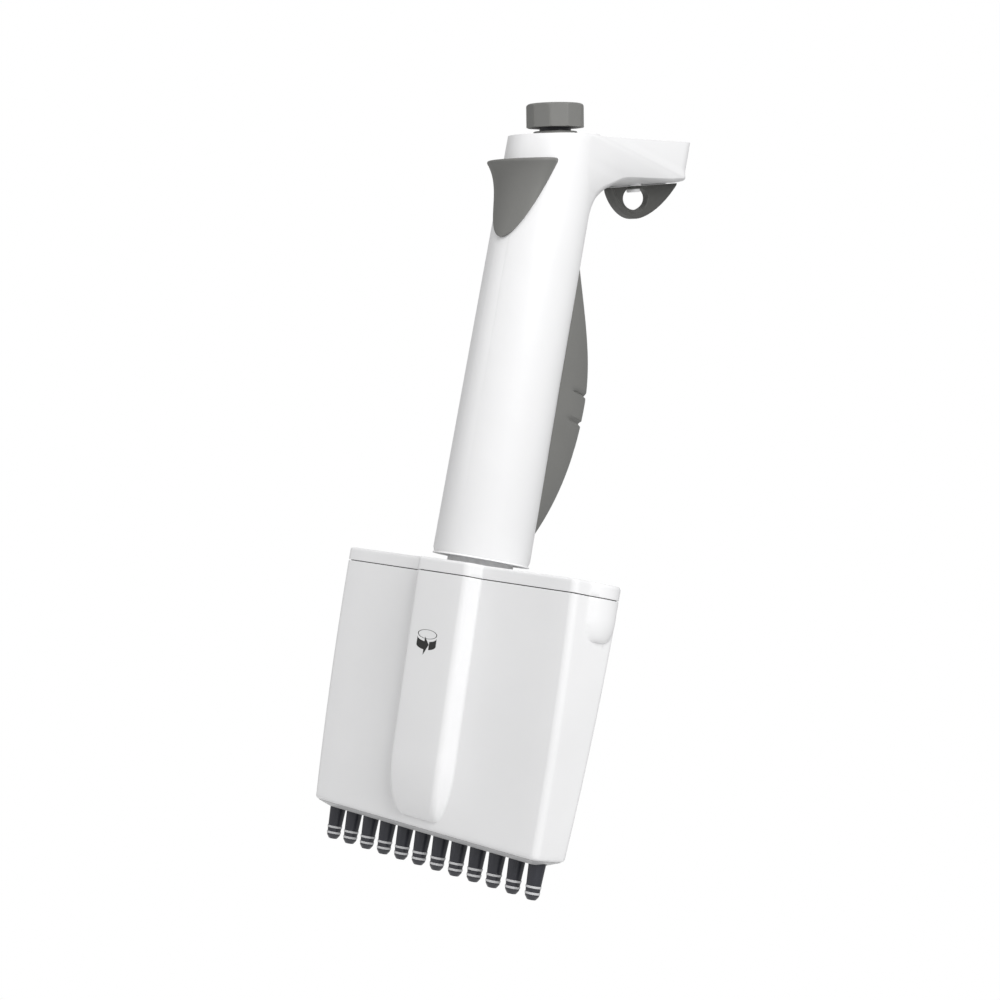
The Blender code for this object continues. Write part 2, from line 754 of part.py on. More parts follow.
def make_drive_motor():
    motor = post("drive_motor", MOTOR_R, (MOTOR_LOW_Z, MOTOR_TOP_Z), MEDIUM_SEGMENTS, HANDLE_AXIS)
    socket = (MOTOR_LOW_Z - GAP, MOTOR_LOW_Z + MOTOR_SOCKET)
    cut(motor, post("motor_socket", SCREW_HOLE_R, socket, SMALL_SEGMENTS, HANDLE_AXIS))
    return finish(motor, ALLOY)


def make_motor_mount():
    high = MOTOR_LOW_Z - GAP
    low = high - MOUNT_THICK
    mount = post("motor_mount", MOUNT_R, (low, high), LARGE_SEGMENTS, HANDLE_AXIS)
    through = (low - GAP, high + GAP)
    cut(mount, post("mount_hole", DRIVE_HOLE_R, through, MEDIUM_SEGMENTS, HANDLE_AXIS))
    rod_hole = EJECTOR_ROD_R + GAP
    cut(mount, post("mount_rod_notch", rod_hole, through, SMALL_SEGMENTS, HANDLE_AXIS, (0.0, EJECTOR_ROD_Y)))
    wide = (-MOUNT_R, MOUNT_R)
    front = (-MOUNT_R, EJECTOR_ROD_Y)
    cut(mount, block("mount_front_notch", (-rod_hole, rod_hole), front, through, HANDLE_AXIS))
    cut(mount, block("mount_flat", wide, (FRAME_Y - GAP, MOUNT_R), through, HANDLE_AXIS))
    return finish(mount, ALLOY)


# Electronics inside the handle


def make_inner_frame():
    frame = block(
        "inner_frame",
        (-FRAME_HALF_X, FRAME_HALF_X),
        (FRAME_Y, FRAME_Y + FRAME_THICK),
        (FRAME_LOW_Z, FRAME_TOP_Z),
        HANDLE_AXIS,
    )
    shelf_half = BATTERY_R - 1.0 * MM
    for word, low, high in (
        ("lower", SHELF_LOW_Z, SHELF_LOW_Z + SHELF_THICK),
        ("upper", BATTERY_TOP_Z + GAP, BATTERY_TOP_Z + GAP + FRAME_THICK),
    ):
        deep = (-BATTERY_R, FRAME_Y + FRAME_THICK / 2)
        join(frame, block(f"{word}_shelf", (-shelf_half, shelf_half), deep, (low, high), HANDLE_AXIS))
    slot_half = KEY_HALF_X + GAP
    slot = (KEY_LOW_Z - PISTON_TRAVEL - GAP, KEY_LOW_Z + KEY_TALL + GAP)
    past = (FRAME_Y - GAP, FRAME_Y + FRAME_THICK + GAP)
    cut(frame, block("key_slot", (-slot_half, slot_half), past, slot, HANDLE_AXIS))
    return finish(frame, NATURAL)


def make_battery():
    cell = post("battery", BATTERY_R, (BATTERY_LOW_Z, BATTERY_TOP_Z), MEDIUM_SEGMENTS, HANDLE_AXIS)
    return finish(cell, CELL)


def make_circuit_board():
    low_y = FRAME_Y + FRAME_THICK + GAP
    board = block(
        "circuit_board",
        (-BOARD_HALF_X, BOARD_HALF_X),
        (low_y, low_y + BOARD_THICK),
        (BOARD_LOW_Z, BOARD_TOP_Z),
        HANDLE_AXIS,
    )
    return finish(board, BOARD)


# Handle


def beak_reach(z):
    """Reach in +Y of the handle and beak at height z: wall, fillet, sloping underside, end."""
    half_turn = (math.pi / 2 - HEAD_TILT) / 2
    tangent = BEAK_FILLET_R * math.tan(half_turn)
    corner_z = beak_under_z(HANDLE_TOP_R)
    centre_y = HANDLE_TOP_R + BEAK_FILLET_R
    centre_z = corner_z - tangent
    top_z = corner_z + tangent * math.sin(HEAD_TILT)
    wall = handle_radius(z) + BEAK_BLEND
    if z <= centre_z:
        return wall
    if z <= top_z:
        return max(wall, centre_y - math.sqrt(max(0.0, BEAK_FILLET_R**2 - (z - centre_z) ** 2)))
    return min((z - BEAK_UNDER_Z) / TAN_TILT, BEAK_REACH)


def pill(root_r, tip_r, tip_long, reach, z, arc_steps=14):
    """The outline round a circle at the origin and an ellipse whose far side is at y = reach."""
    centre = reach - tip_long
    lean = math.asin((root_r - tip_r) / centre)
    outline = []
    for step in range(arc_steps + 1):
        angle = lean + (math.pi - 2.0 * lean) * step / arc_steps
        outline.append((tip_r * math.cos(angle), centre + tip_long * math.sin(angle), z))
    for step in range(arc_steps + 1):
        angle = math.pi - lean + (math.pi + 2.0 * lean) * step / arc_steps
        outline.append((root_r * math.cos(angle), root_r * math.sin(angle), z))
    return outline


def head_rings(inset, low_z, high_z):
    """Sections of the handle and beak, drawn in by inset on every side."""
    rise = inset / math.cos(HEAD_TILT)
    end_z = beak_under_z(BEAK_REACH)
    fillet_low = beak_under_z(HANDLE_TOP_R) - BEAK_FILLET_R
    steps = 14
    levels = [fillet_low + (end_z - fillet_low) * step / steps for step in range(1, steps)]
    round_end = 3.0 * MM
    levels += [end_z + share * round_end for share in (0.0, 0.3, 1.0)]
    rings = []
    for z in [low_z] + [level + rise for level in levels] + [high_z]:
        root_r = handle_radius(z)
        reach = beak_reach(z - rise)
        along = max(0.0, (reach - root_r) / (BEAK_REACH - root_r))
        shaped = min(1.0, max(0.0, (z - rise - end_z) / round_end))
        reach -= 1.2 * MM * (1.0 - shaped) ** 2 * smoothstep(along)
        narrow = BEAK_ROOT_R + (BEAK_TIP_R - BEAK_ROOT_R) * along
        tip_r = max(narrow, root_r - (reach - root_r))
        flat = smoothstep(along / 0.2) * (1.0 - smoothstep(shaped))
        tip_long = tip_r + (BEAK_EDGE_LONG - tip_r) * flat
        rings.append(pill(root_r - inset, tip_r - inset, tip_long - inset, reach - inset, z))
    return rings


def keel():
    """V shaped keel that stands below the beak's flat underside and runs out before its end."""
    end_y = (BEAK_UNDER_Z - KEEL_Z) / (math.tan(KEEL_TILT) - TAN_TILT)
    rings = []
    for y in (KEEL_ROOT_Y, end_y):
        top_z = beak_under_z(y) + KEEL_SUNK
        half_x = (top_z - keel_z(y)) / math.tan(KEEL_FLANK)
        rings.append([(0.0, y, keel_z(y)), (half_x, y, top_z), (-half_x, y, top_z)])
    return loft("beak_keel", rings, HANDLE_AXIS)


def make_handle_housing():
    past = 1.0 * MM
    above = head_plane_z(BEAK_REACH) + past
    housing = loft("handle_housing", head_rings(0.0, HANDLE_LOW_Z, above), HANDLE_AXIS)
    join(housing, keel())
    far = BEAK_REACH + 2.0 * HANDLE_R
    lid = block("head_trim", (-far, far), (-far, far), (0.0, far), KNOB_AXIS)
    cut(housing, lid)
    step = block("beak_trim", (-far, far), (0.0, far), (-BEAK_STEP, far), KNOB_AXIS)
    cut(step, post("beak_trim_boss", BOSS_R, (-far, far), LARGE_SEGMENTS, KNOB_AXIS))
    cut(housing, step)
    hollow = loft("handle_hollow", head_rings(HANDLE_WALL, HANDLE_LOW_Z - past, above), HANDLE_AXIS)
    cut(hollow, block("hollow_trim", (-far, far), (-far, far), (-CAP_THICK, far), KNOB_AXIS))
    cut(housing, hollow)
    cut(housing, post("cap_hole", CAP_R + GAP, (-CAP_THICK - past, past), LARGE_SEGMENTS, KNOB_AXIS))
    wide = DISPLAY_WIDE / 2 + GAP
    long = (DISPLAY_Y - DISPLAY_LONG / 2 - GAP, DISPLAY_Y + DISPLAY_LONG / 2 + GAP)
    cut(housing, block("display_hole", (-wide, wide), long, (-CAP_THICK - past, past), KNOB_AXIS))
    half_x = LINK_HALF_X + GAP
    slot = (LINK_LOW_Z - EJECT_TRAVEL - GAP, LINK_LOW_Z + LINK_TALL + GAP)
    cut(housing, block("link_slot", (-half_x, half_x), (-HANDLE_R - past, EJECTOR_ROD_Y), slot, HANDLE_AXIS))
    cut(housing, post("hook_stud_hole", STUD_R + GAP, (-past, HANDLE_WALL * 2), SMALL_SEGMENTS, HOOK_AXIS))
    seat = (-past, STUD_DISC + GAP)
    cut(housing, post("stud_disc_seat", STUD_DISC_R + GAP, seat, MEDIUM_SEGMENTS, HOOK_AXIS))
    cut(housing, socket_space("socket_hole", GAP, past))
    return finish(housing, WHITE)


def socket_space(name, clearance, past):
    height = beak_under_z(BEAK_REACH) + SOCKET_RISE
    half_x = SOCKET_WIDE / 2 + clearance
    half_z = SOCKET_TALL / 2 + clearance
    deep = (BEAK_REACH - SOCKET_DEEP - clearance, BEAK_REACH + past)
    return block(name, (-half_x, half_x), deep, (height - half_z, height + half_z), HANDLE_AXIS)


def make_charging_socket():
    sink = -0.6 * MM
    socket = socket_space("charging_socket", 0.0, sink)
    rim = -0.6 * MM
    cut(socket, socket_space("socket_mouth", rim, GAP))
    return finish(socket, STEEL)


def make_swivel_bush():
    span = (BUSH_LOW_Z, NECK_FLANGE_LOW_Z - GAP)
    bush = tube("swivel_bush", HANDLE_BORE_R - GAP, NECK_R + GAP, span, LARGE_SEGMENTS, HANDLE_AXIS)
    return finish(bush, NATURAL)


def make_head_cap():
    cap = tube("head_cap", CAP_R, SHAFT_R + GAP, (-CAP_THICK, 0.0), LARGE_SEGMENTS, KNOB_AXIS)
    cut(cap, post("collar_seat", COLLAR_R + GAP, (-COLLAR_SUNK - GAP, GAP), MEDIUM_SEGMENTS, KNOB_AXIS))
    return finish(cap, WHITE)


def make_knob_collar():
    span = (-COLLAR_SUNK, COLLAR_PROUD)
    return finish(tube("knob_collar", COLLAR_R, SHAFT_R + GAP, span, MEDIUM_SEGMENTS, KNOB_AXIS), GREY)


def make_rotary_encoder():
    high = -CAP_THICK - GAP
    span = (high - ENCODER_TALL, high)
    return finish(tube("rotary_encoder", ENCODER_R, SPINDLE_R + GAP, span, MEDIUM_SEGMENTS, KNOB_AXIS), DARK)


def make_display_window():
    half_x = DISPLAY_WIDE / 2
    half_y = DISPLAY_LONG / 2
    span = (-BEAK_STEP - WINDOW_THICK, -BEAK_STEP)
    window = block(
        "display_window",
        (-half_x, half_x),
        (DISPLAY_Y - half_y, DISPLAY_Y + half_y),
        span,
        KNOB_AXIS,
    )
    return finish(window, GLASS)


def make_display_module():
    half_x = DISPLAY_WIDE / 2
    half_y = DISPLAY_LONG / 2
    high = -BEAK_STEP - WINDOW_THICK - GAP
    module = block(
        "display_module",
        (-half_x, half_x),
        (DISPLAY_Y - half_y, DISPLAY_Y + half_y),
        (high - MODULE_THICK, high),
        KNOB_AXIS,
    )
    return finish(module, BOARD)


def pad_crest(z):
    """Reach of the pad's crest in +Y at height z."""
    if z > PAD_FULL_Z:
        share = (z - PAD_FULL_Z) / (PAD_TOP_Z - PAD_FULL_Z)
        fall = 0.5 - 0.5 * math.cos(math.pi * min(max(share, 0.0), 1.0))
        fall = fall * 0.9 + 0.1 * share
    else:
        share = (PAD_FULL_Z - z) / (PAD_FULL_Z - PAD_LOW_Z)
        fall = share**2.2
    return PAD_REACH - (PAD_REACH - HANDLE_R) * fall


def pad_ring(z, deep, reach):
    """Section of the pad; where reach is above 0 the crest is drawn in by deep over that share of it."""
    crest = pad_crest(z)
    middle = (PAD_TOP_Z + PAD_LOW_Z) / 2
    half_length = (PAD_TOP_Z - PAD_LOW_Z) / 2
    share = min(1.0, abs(z - middle) / half_length)
    half_x = PAD_HALF_X * max(0.12, (1.0 - share**2.4)) ** 0.6
    half_y = crest - PAD_CENTRE_Y
    points = 32
    ring = []
    for i in range(points):
        angle = 2.0 * math.pi * i / points
        deep_y = half_y if math.sin(angle) > 0.0 else min(half_y, PAD_CENTRE_Y)
        from_crest = abs(math.atan2(math.cos(angle), math.sin(angle))) / (math.pi / 2)
        inset = deep if from_crest < reach else 0.0
        ring.append(
            (
                (half_x - inset) * math.cos(angle),
                PAD_CENTRE_Y + (deep_y - inset) * math.sin(angle),
                z,
            )
        )
    return ring


def make_grip_pad():
    count = 14
    span = PAD_TOP_Z - PAD_LOW_Z
    heights = [PAD_LOW_Z + span * (0.5 - 0.5 * math.cos(math.pi * i / count)) for i in range(count + 1)]
    levels = [(z, 0.0, 0.0) for z in heights]
    edge = 0.15 * MM
    for z, reach in zip(PAD_GROOVES_Z, PAD_GROOVE_REACH):
        near = PAD_GROOVE_HALF + edge
        levels = [level for level in levels if abs(level[0] - z) > near + edge]
        levels += [(z - near, 0.0, 0.0), (z + near, 0.0, 0.0)]
        bottom = (PAD_GROOVE_DEEP, reach)
        levels += [(z - PAD_GROOVE_HALF, *bottom), (z + PAD_GROOVE_HALF, *bottom)]
    pad = loft("grip_pad", [pad_ring(*level) for level in sorted(levels)], HANDLE_AXIS)
    levels = (HANDLE_LOW_Z, PAD_TOP_Z + GAP)
    radii = [handle_radius(z) + GAP for z in levels]
    seat = [ellipse((0.0, 0.0), radius, radius, z, LARGE_SEGMENTS) for radius, z in zip(radii, levels)]
    cut(pad, loft("pad_seat", seat, HANDLE_AXIS))
    return finish(pad, GREY)


# Ejector


def button_radius(z):
    """Outer radius of the shield: a thumb lip at the top, a thin skin lower down."""
    skin = handle_radius(z) + 1.0 * MM
    share = (z - BUTTON_TIP_Z) / (BUTTON_TOP_Z - BUTTON_TIP_Z)
    return skin + (BUTTON_LIP_R - skin) * share**3.6


def button_ring(z, columns=14):
    """Section of the shield, level at its tip and leaning with the head's top plane at its lip."""
    share = (z - BUTTON_TIP_Z) / (BUTTON_TOP_Z - BUTTON_TIP_Z)
    half = BUTTON_HALF_ANGLE * math.sqrt(max(share, 0.002))
    lean = TAN_TILT * share**2
    inner = handle_radius(z) + GAP
    outer = button_radius(z)
    edge = 0.5 * MM
    ring = []
    for i in range(columns + 1):
        side = -1.0 + 2.0 * i / columns
        angle = -math.pi / 2 + side * half
        radius = outer - (outer - inner - edge) * abs(side) ** 10
        y = radius * math.sin(angle)
        ring.append((radius * math.cos(angle), y, z + lean * y))
    for i in range(columns + 1):
        side = 1.0 - 2.0 * i / columns
        angle = -math.pi / 2 + side * half
        y = inner * math.sin(angle)
        ring.append((inner * math.cos(angle), y, z + lean * y))
    return ring


def make_ejector_button():
    rows = 12
    span = BUTTON_TOP_Z - BUTTON_TIP_Z
    levels = [BUTTON_TIP_Z + span * (math.sin(math.pi / 2 * i / rows)) ** 1.5 for i in range(rows + 1)]
    levels = [z for z in levels if z < BUTTON_TOP_Z - BUTTON_LIP_EDGE] + [BUTTON_TOP_Z - BUTTON_LIP_EDGE]
    rings = [button_ring(z) for z in levels] + [top_ring(0.3, 0.7), top_ring(1.0, 1.0)]
    button = loft("ejector_button", rings, EJECTOR_AXIS)
    wall = EJECTOR_ROD_R + GAP
    link = block(
        "button_link",
        (-LINK_HALF_X, LINK_HALF_X),
        (-handle_radius(LINK_LOW_Z) - 0.8 * MM, EJECTOR_ROD_Y - wall),
        (LINK_LOW_Z, LINK_LOW_Z + LINK_TALL),
        EJECTOR_AXIS,
    )
    join(button, link)
    return finish(button, GREY)


def top_ring(drawn_in, risen):
    """The shield's top edge, drawn in and risen by shares of its rounding."""
    lip = BUTTON_LIP_EDGE * drawn_in
    ring = []
    for x, y, z in button_ring(BUTTON_TOP_Z - BUTTON_LIP_EDGE * (1.0 - risen)):
        radius = math.hypot(x, y)
        drawn = radius - lip if radius > HANDLE_R + lip + GAP else radius
        ring.append((x * drawn / radius, y * drawn / radius, z))
    return ring


def make_ejector_rod():
    span = (SLEEVE_TOP_Z + GAP, EJECTOR_ROD_TOP_Z)
    rod = post("ejector_rod", EJECTOR_ROD_R, span, SMALL_SEGMENTS, EJECTOR_AXIS, (0.0, EJECTOR_ROD_Y))
    return finish(rod, STEEL)


def make_ejector_sleeve():
    low = YOKE_TOP_Z + GAP
    flange = SLEEVE_TOP_Z - SLEEVE_FLANGE
    profile = [
        (SLEEVE_FLANGE_R, SLEEVE_TOP_Z),
        (SLEEVE_FLANGE_R, flange),
        (SLEEVE_R, flange),
        (SLEEVE_R, low),
        (DRIVE_HOLE_R, low),
        (DRIVE_HOLE_R, SLEEVE_TOP_Z),
    ]
    sleeve = turned("ejector_sleeve", profile, MEDIUM_SEGMENTS, EJECTOR_AXIS, closed=True)
    half_x = EJECTOR_ROD_R + 1.0 * MM
    arm_end = EJECTOR_ROD_Y - EJECTOR_ROD_R + GAP / 2
    arm = block("sleeve_arm", (-half_x, half_x), (arm_end, -SLEEVE_R), (flange, SLEEVE_TOP_Z), EJECTOR_AXIS)
    join(sleeve, arm)
    return finish(sleeve, NATURAL)


def make_ejector_spring():
    """A coil standing on the neck and carrying the sleeve's flange."""
    low = NECK_TOP_Z + GAP + SPRING_WIRE_R
    high = SLEEVE_TOP_Z - SLEEVE_FLANGE - GAP - SPRING_WIRE_R
    per_turn = 14
    curve = bpy.data.curves.new("ejector_spring", "CURVE")
    curve.dimensions = "3D"
    curve.bevel_depth = SPRING_WIRE_R
    curve.bevel_resolution = 2
    curve.use_fill_caps = True
    spline = curve.splines.new("POLY")
    count = SPRING_TURNS * per_turn
    spline.points.add(count)
    for i, point in enumerate(spline.points):
        angle = 2.0 * math.pi * i / per_turn
        height = low + (high - low) * i / count
        point.co = (SPRING_R * math.cos(angle), SPRING_R * math.sin(angle), height, 1.0)
    spring = bpy.data.objects.new("ejector_spring", curve)
    place(spring, PARTS, EJECTOR_AXIS)
    curve.materials.append(STEEL)
    return spring


def make_ejector_yoke():
    yoke = block(
        "ejector_yoke",
        (-YOKE_HALF_X, YOKE_HALF_X),
        (-YOKE_HALF_Y, YOKE_HALF_Y),
        (YOKE_LOW_Z, YOKE_TOP_Z),
        MANIFOLD_AXIS,
    )
    join(yoke, post("yoke_hub", SLEEVE_R, (YOKE_LOW_Z, YOKE_TOP_Z), MEDIUM_SEGMENTS, MANIFOLD_AXIS))
    into = YOKE_LOW_Z + 1.0 * MM
    rods = [(-PUSH_ROD_X, 0.0), (PUSH_ROD_X, 0.0)]
    join(yoke, posts("yoke_rods", rods, PUSH_ROD_R, (PLATE_THICK + GAP, into), SMALL_SEGMENTS, MANIFOLD_AXIS))
    through = (YOKE_LOW_Z - GAP, YOKE_TOP_Z + GAP)
    cut(yoke, post("yoke_drive_hole", DRIVE_HOLE_R, through, MEDIUM_SEGMENTS, MANIFOLD_AXIS))
    guides = [(-GUIDE_X, 0.0), (GUIDE_X, 0.0)]
    cut(yoke, posts("yoke_guide_holes", guides, GUIDE_HOLE_R, through, SMALL_SEGMENTS, MANIFOLD_AXIS))
    return finish(yoke, NATURAL)


def make_ejector_plate():
    half_x = manifold_half_x(MANIFOLD_LOW_Z) - PLATE_INSET
    half_y = manifold_half_y(MANIFOLD_LOW_Z) - PLATE_INSET
    rings = [
        rounded_rectangle(half_x - EDGE_CHAMFER, half_y - EDGE_CHAMFER, CORNER_R - PLATE_INSET, 0.0),
        rounded_rectangle(half_x, half_y, CORNER_R - PLATE_INSET, EDGE_CHAMFER),
        rounded_rectangle(half_x, half_y, CORNER_R - PLATE_INSET, PLATE_THICK),
    ]
    plate = loft("ejector_plate", rings, MANIFOLD_AXIS)
    places = [(nozzle_x(i), 0.0) for i in range(CHANNELS)]
    through = (-GAP, PLATE_THICK + GAP)
    cut(plate, posts("plate_holes", places, CONE_TOP_R + GAP, through, SMALL_SEGMENTS, MANIFOLD_AXIS))
    return finish(plate, WHITE)


# Control knob


def make_switch_plunger():
    high = -CAP_THICK - GAP - ENCODER_TALL - GAP
    tall = 2.0 * MM
    return finish(post("switch_plunger", SPINDLE_R, (high - tall, high), SMALL_SEGMENTS, KNOB_AXIS), STEEL)


def make_knob_shaft():
    low = -CAP_THICK - GAP - ENCODER_TALL
    shoulder = -CAP_THICK + PRESS_TRAVEL
    top = KNOB_LOW + 0.45 * KNOB_TALL
    profile = [(0.0, top), (SHAFT_R, top), (SHAFT_R, shoulder)]
    profile += [(SPINDLE_R, shoulder), (SPINDLE_R, low), (0.0, low)]
    return finish(turned("knob_shaft", profile, MEDIUM_SEGMENTS, KNOB_AXIS), DARK)


def make_control_knob():
    """A ten sided prism under a turned body with a rounded top edge, so each facet ends in an arch."""
    corner_r = KNOB_FLAT_R / math.cos(math.pi / KNOB_FACETS)
    centre = (corner_r - KNOB_EDGE_R, KNOB_TOP - KNOB_EDGE_R)
    arc = [math.pi / 2 * step / 4 for step in range(5)]
    edge = [
        (centre[0] + KNOB_EDGE_R * math.sin(a), centre[1] + KNOB_EDGE_R * math.cos(a))
        for a in arc
    ]
    profile = [(0.0, KNOB_TOP), *edge, (corner_r, KNOB_LOW), (0.0, KNOB_LOW)]
    knob = turned("control_knob", profile, LARGE_SEGMENTS, KNOB_AXIS)
    past = 1.0 * MM
    prism = post("knob_facets", corner_r, (KNOB_LOW - past, KNOB_TOP + past), KNOB_FACETS, KNOB_AXIS)
    combine(knob, prism, "INTERSECT")
    socket = (KNOB_LOW - past, KNOB_LOW + 0.45 * KNOB_TALL + GAP)
    cut(knob, post("knob_socket", SHAFT_R + GAP, socket, MEDIUM_SEGMENTS, KNOB_AXIS))
    return finish(knob, GREY)


# Finger hook, whose local Y runs along the keel and local Z points into the beak


def hook_belly_w(v):
    """Distance of the hook's lower edge from the keel: a deep belly and a long taper to the tip."""
    if v < HOOK_DEEP_V:
        across = (HOOK_DEEP_V - v) / (HOOK_DEEP_V - HOOK_BACK_V)
        depth = max(0.0, 1.0 - across**2) ** 0.7
    else:
        across = (v - HOOK_DEEP_V) / (HOOK_TIP_V - HOOK_DEEP_V)
        depth = 1.0 - across**1.85
    return HOOK_TOP_W + HOOK_EDGE_R + (HOOK_DEEP_W - HOOK_TOP_W - HOOK_EDGE_R) * depth


def hook_outline():
    """Crescent under a straight top edge."""
    points = []
    steps = 22
    for step in range(steps + 1):
        share = 0.5 - 0.5 * math.cos(math.pi * step / steps)
        v = HOOK_BACK_V + (HOOK_TIP_V - HOOK_BACK_V) * share
        points.append((v, -hook_belly_w(v)))
    for v in (HOOK_TIP_V - HOOK_EDGE_R, HOOK_BACK_V + HOOK_EDGE_R):
        points.append((v, -HOOK_TOP_W))
    return points


def hook_recess(name, side):
    """Hollow beside the web, inside the rim, that runs out towards the tip."""
    start = HOOK_BACK_V + HOOK_RIM
    flat = [start + (HOOK_WEB_END_V - start) * share for share in (0.0, 0.06, 0.16, 0.32, 0.5, 0.75, 1.0)]
    past = 1.0 * MM
    rings = []
    for v in [*flat, HOOK_RAMP_END_V]:
        ramp = max(0.0, (v - HOOK_WEB_END_V) / (HOOK_RAMP_END_V - HOOK_WEB_END_V))
        near = side * (HOOK_WEB + (HOOK_THICK - HOOK_WEB) * ramp) / 2
        far = side * (HOOK_THICK / 2 + past)
        low = -max(HOOK_TOP_W + HOOK_RIM, hook_belly_w(v) - HOOK_RIM)
        rings.append([(near, v, past), (far, v, past), (far, v, low), (near, v, low)])
    return loft(name, rings, HOOK_AXIS)


def make_finger_hook():
    web = extruded("finger_hook", hook_outline(), HOOK_THICK, HOOK_AXIS)
    web.rotation_euler = (math.pi / 2, 0.0, math.pi / 2)
    bevel = web.modifiers.new("soft_edges", "BEVEL")
    bevel.width = HOOK_EDGE_R
    bevel.segments = 2
    bevel.limit_method = "ANGLE"
    bevel.angle_limit = math.radians(60.0)
    for side, word in ((-1, "left"), (1, "right")):
        cut(web, hook_recess("hook_recess_" + word, side))
    hole = post("hook_hole", HOOK_HOLE_HALF_W, (-HOOK_THICK, HOOK_THICK), MEDIUM_SEGMENTS, HOOK_AXIS)
    hole.rotation_euler = (0.0, math.pi / 2, 0.0)
    hole.scale = (1.0, HOOK_HOLE_HALF_V / HOOK_HOLE_HALF_W, 1.0)
    hole.location = (0.0, 0.0, -HOOK_HOLE_W)
    wide = 2.0 * HOOK_HOLE_HALF_V
    cut(hole, block("hook_bridge", (-wide, wide), (-wide, wide), (-HOOK_BRIDGE_W, wide), HOOK_AXIS))
    cut(web, hole)
    return web


def finish_finger_hook(web):
    """The boss round the stud's shank, and the shank's hole."""
    boss_r = HOOK_THICK / 2
    top = -HOOK_TOP_W
    join(web, post("hook_boss", boss_r, (-HOOK_BRIDGE_W, top), SMALL_SEGMENTS, HOOK_AXIS))
    through = (-HOOK_BRIDGE_W - GAP, top + GAP)
    cut(web, post("hook_shank_hole", STUD_SHANK_R + GAP, through, SMALL_SEGMENTS, HOOK_AXIS))
    return finish(web, GREY)


def make_hook_stud():
    """Turned stud: root in the beak's wall, disc flush with the keel, shank, and head under the hook."""
    root_top = HANDLE_WALL + 1.0 * MM
    head_top = -HOOK_BRIDGE_W - GAP
    profile = [
        (0.0, root_top),
        (STUD_R, root_top),
        (STUD_R, STUD_DISC),
        (STUD_DISC_R, STUD_DISC),
        (STUD_DISC_R, 0.0),
        (STUD_SHANK_R, 0.0),
        (STUD_SHANK_R, head_top),
        (STUD_HEAD_R, head_top),
        (STUD_HEAD_R, head_top - STUD_HEAD),
        (0.0, head_top - STUD_HEAD),
    ]
    return finish(turned("hook_stud", profile, SMALL_SEGMENTS, HOOK_AXIS), WHITE)


# Assembly

make_manifold_housing()
make_manifold_cap()
make_swivel_neck()
make_cylinder_block()
for channel in range(CHANNELS):
    make_nozzle(channel)
    make_piston(channel)
make_guide_rod(-1, "left")
make_guide_rod(1, "right")
make_piston_bar()
make_coupling_ring()
make_drive_rod()
make_lead_screw()
make_drive_motor()
make_motor_mount()
make_inner_frame()
make_battery()
make_circuit_board()
make_handle_housing()
make_charging_socket()
make_swivel_bush()
make_head_cap()
make_knob_collar()
make_rotary_encoder()
make_display_window()
make_display_module()
make_grip_pad()
make_ejector_button()
make_ejector_rod()
make_ejector_sleeve()
make_ejector_spring()
make_ejector_yoke()
make_ejector_plate()
make_switch_plunger()
make_knob_shaft()
make_control_knob()
finish_finger_hook(make_finger_hook())
make_hook_stud()
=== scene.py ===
"""Looks of the twelve channel electronic pipette: visible pieces, materials, studio and camera."""

import json
import math

import bmesh
import bpy
from mathutils import Matrix, Vector


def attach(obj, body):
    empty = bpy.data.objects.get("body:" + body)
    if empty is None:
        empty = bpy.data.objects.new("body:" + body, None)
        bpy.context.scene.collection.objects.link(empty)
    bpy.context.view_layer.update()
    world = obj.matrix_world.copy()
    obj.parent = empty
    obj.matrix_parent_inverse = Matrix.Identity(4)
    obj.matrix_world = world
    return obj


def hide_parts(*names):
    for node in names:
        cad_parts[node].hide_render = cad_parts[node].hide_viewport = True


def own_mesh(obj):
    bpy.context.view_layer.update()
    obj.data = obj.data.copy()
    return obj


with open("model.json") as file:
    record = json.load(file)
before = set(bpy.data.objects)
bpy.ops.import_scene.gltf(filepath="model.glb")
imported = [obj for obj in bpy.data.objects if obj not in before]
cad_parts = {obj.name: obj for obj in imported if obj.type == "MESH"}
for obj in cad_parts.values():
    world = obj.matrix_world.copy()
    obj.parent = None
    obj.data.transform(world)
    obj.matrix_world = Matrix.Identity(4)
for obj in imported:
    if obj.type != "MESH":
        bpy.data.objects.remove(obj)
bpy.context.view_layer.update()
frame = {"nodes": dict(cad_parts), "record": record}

MM = 0.001


# All lengths are in millimetres, in the part's frame, where no other unit is named.

HEAD_Z = 240.2
TILT = math.radians(15.0)
TAN = math.tan(TILT)
UNDER_Z = 224.5
KEEL_Z = 220.45
KEEL_TILT = math.radians(18.65)
HANDLE_LOW = 92.9
HANDLE_R = 16.5
HANDLE_TOP_R = 15.85
SEAM_Z = 86.2
LOW_Z = 2.0
TOP_Z = 90.9
HOOK_Y = 42.0
CHANNELS = 12
PITCH = 9.0
# How far a cutting shape stands past what it cuts.
OVER = 1.0


def lerp(a, b, t):
    return a + (b - a) * t


def clamp(t):
    return min(max(t, 0.0), 1.0)


def smooth(t):
    t = clamp(t)
    return t * t * (3.0 - 2.0 * t)


def circle(count):
    """Angles of count even steps round a full turn."""
    return [2.0 * math.pi * i / count for i in range(count)]


def quarter(steps):
    """Angles of even steps through a quarter turn, both ends included."""
    return [math.pi / 2 * i / steps for i in range(steps + 1)]


def eased(first, last, steps):
    """Values from first to last, closer together towards both ends."""
    return [lerp(first, last, 0.5 - 0.5 * math.cos(math.pi * i / steps)) for i in range(steps + 1)]


def crowded(first, length, steps, power):
    """Values from first on over a length, closer together near the first."""
    return [first + length * (i / steps) ** power for i in range(steps + 1)]


def keel_z(y):
    return KEEL_Z + y * math.tan(KEEL_TILT)


def channel_x(i):
    """Place along X of channel i, counted from 0, in metres."""
    return (i - (CHANNELS - 1) / 2) * PITCH * MM


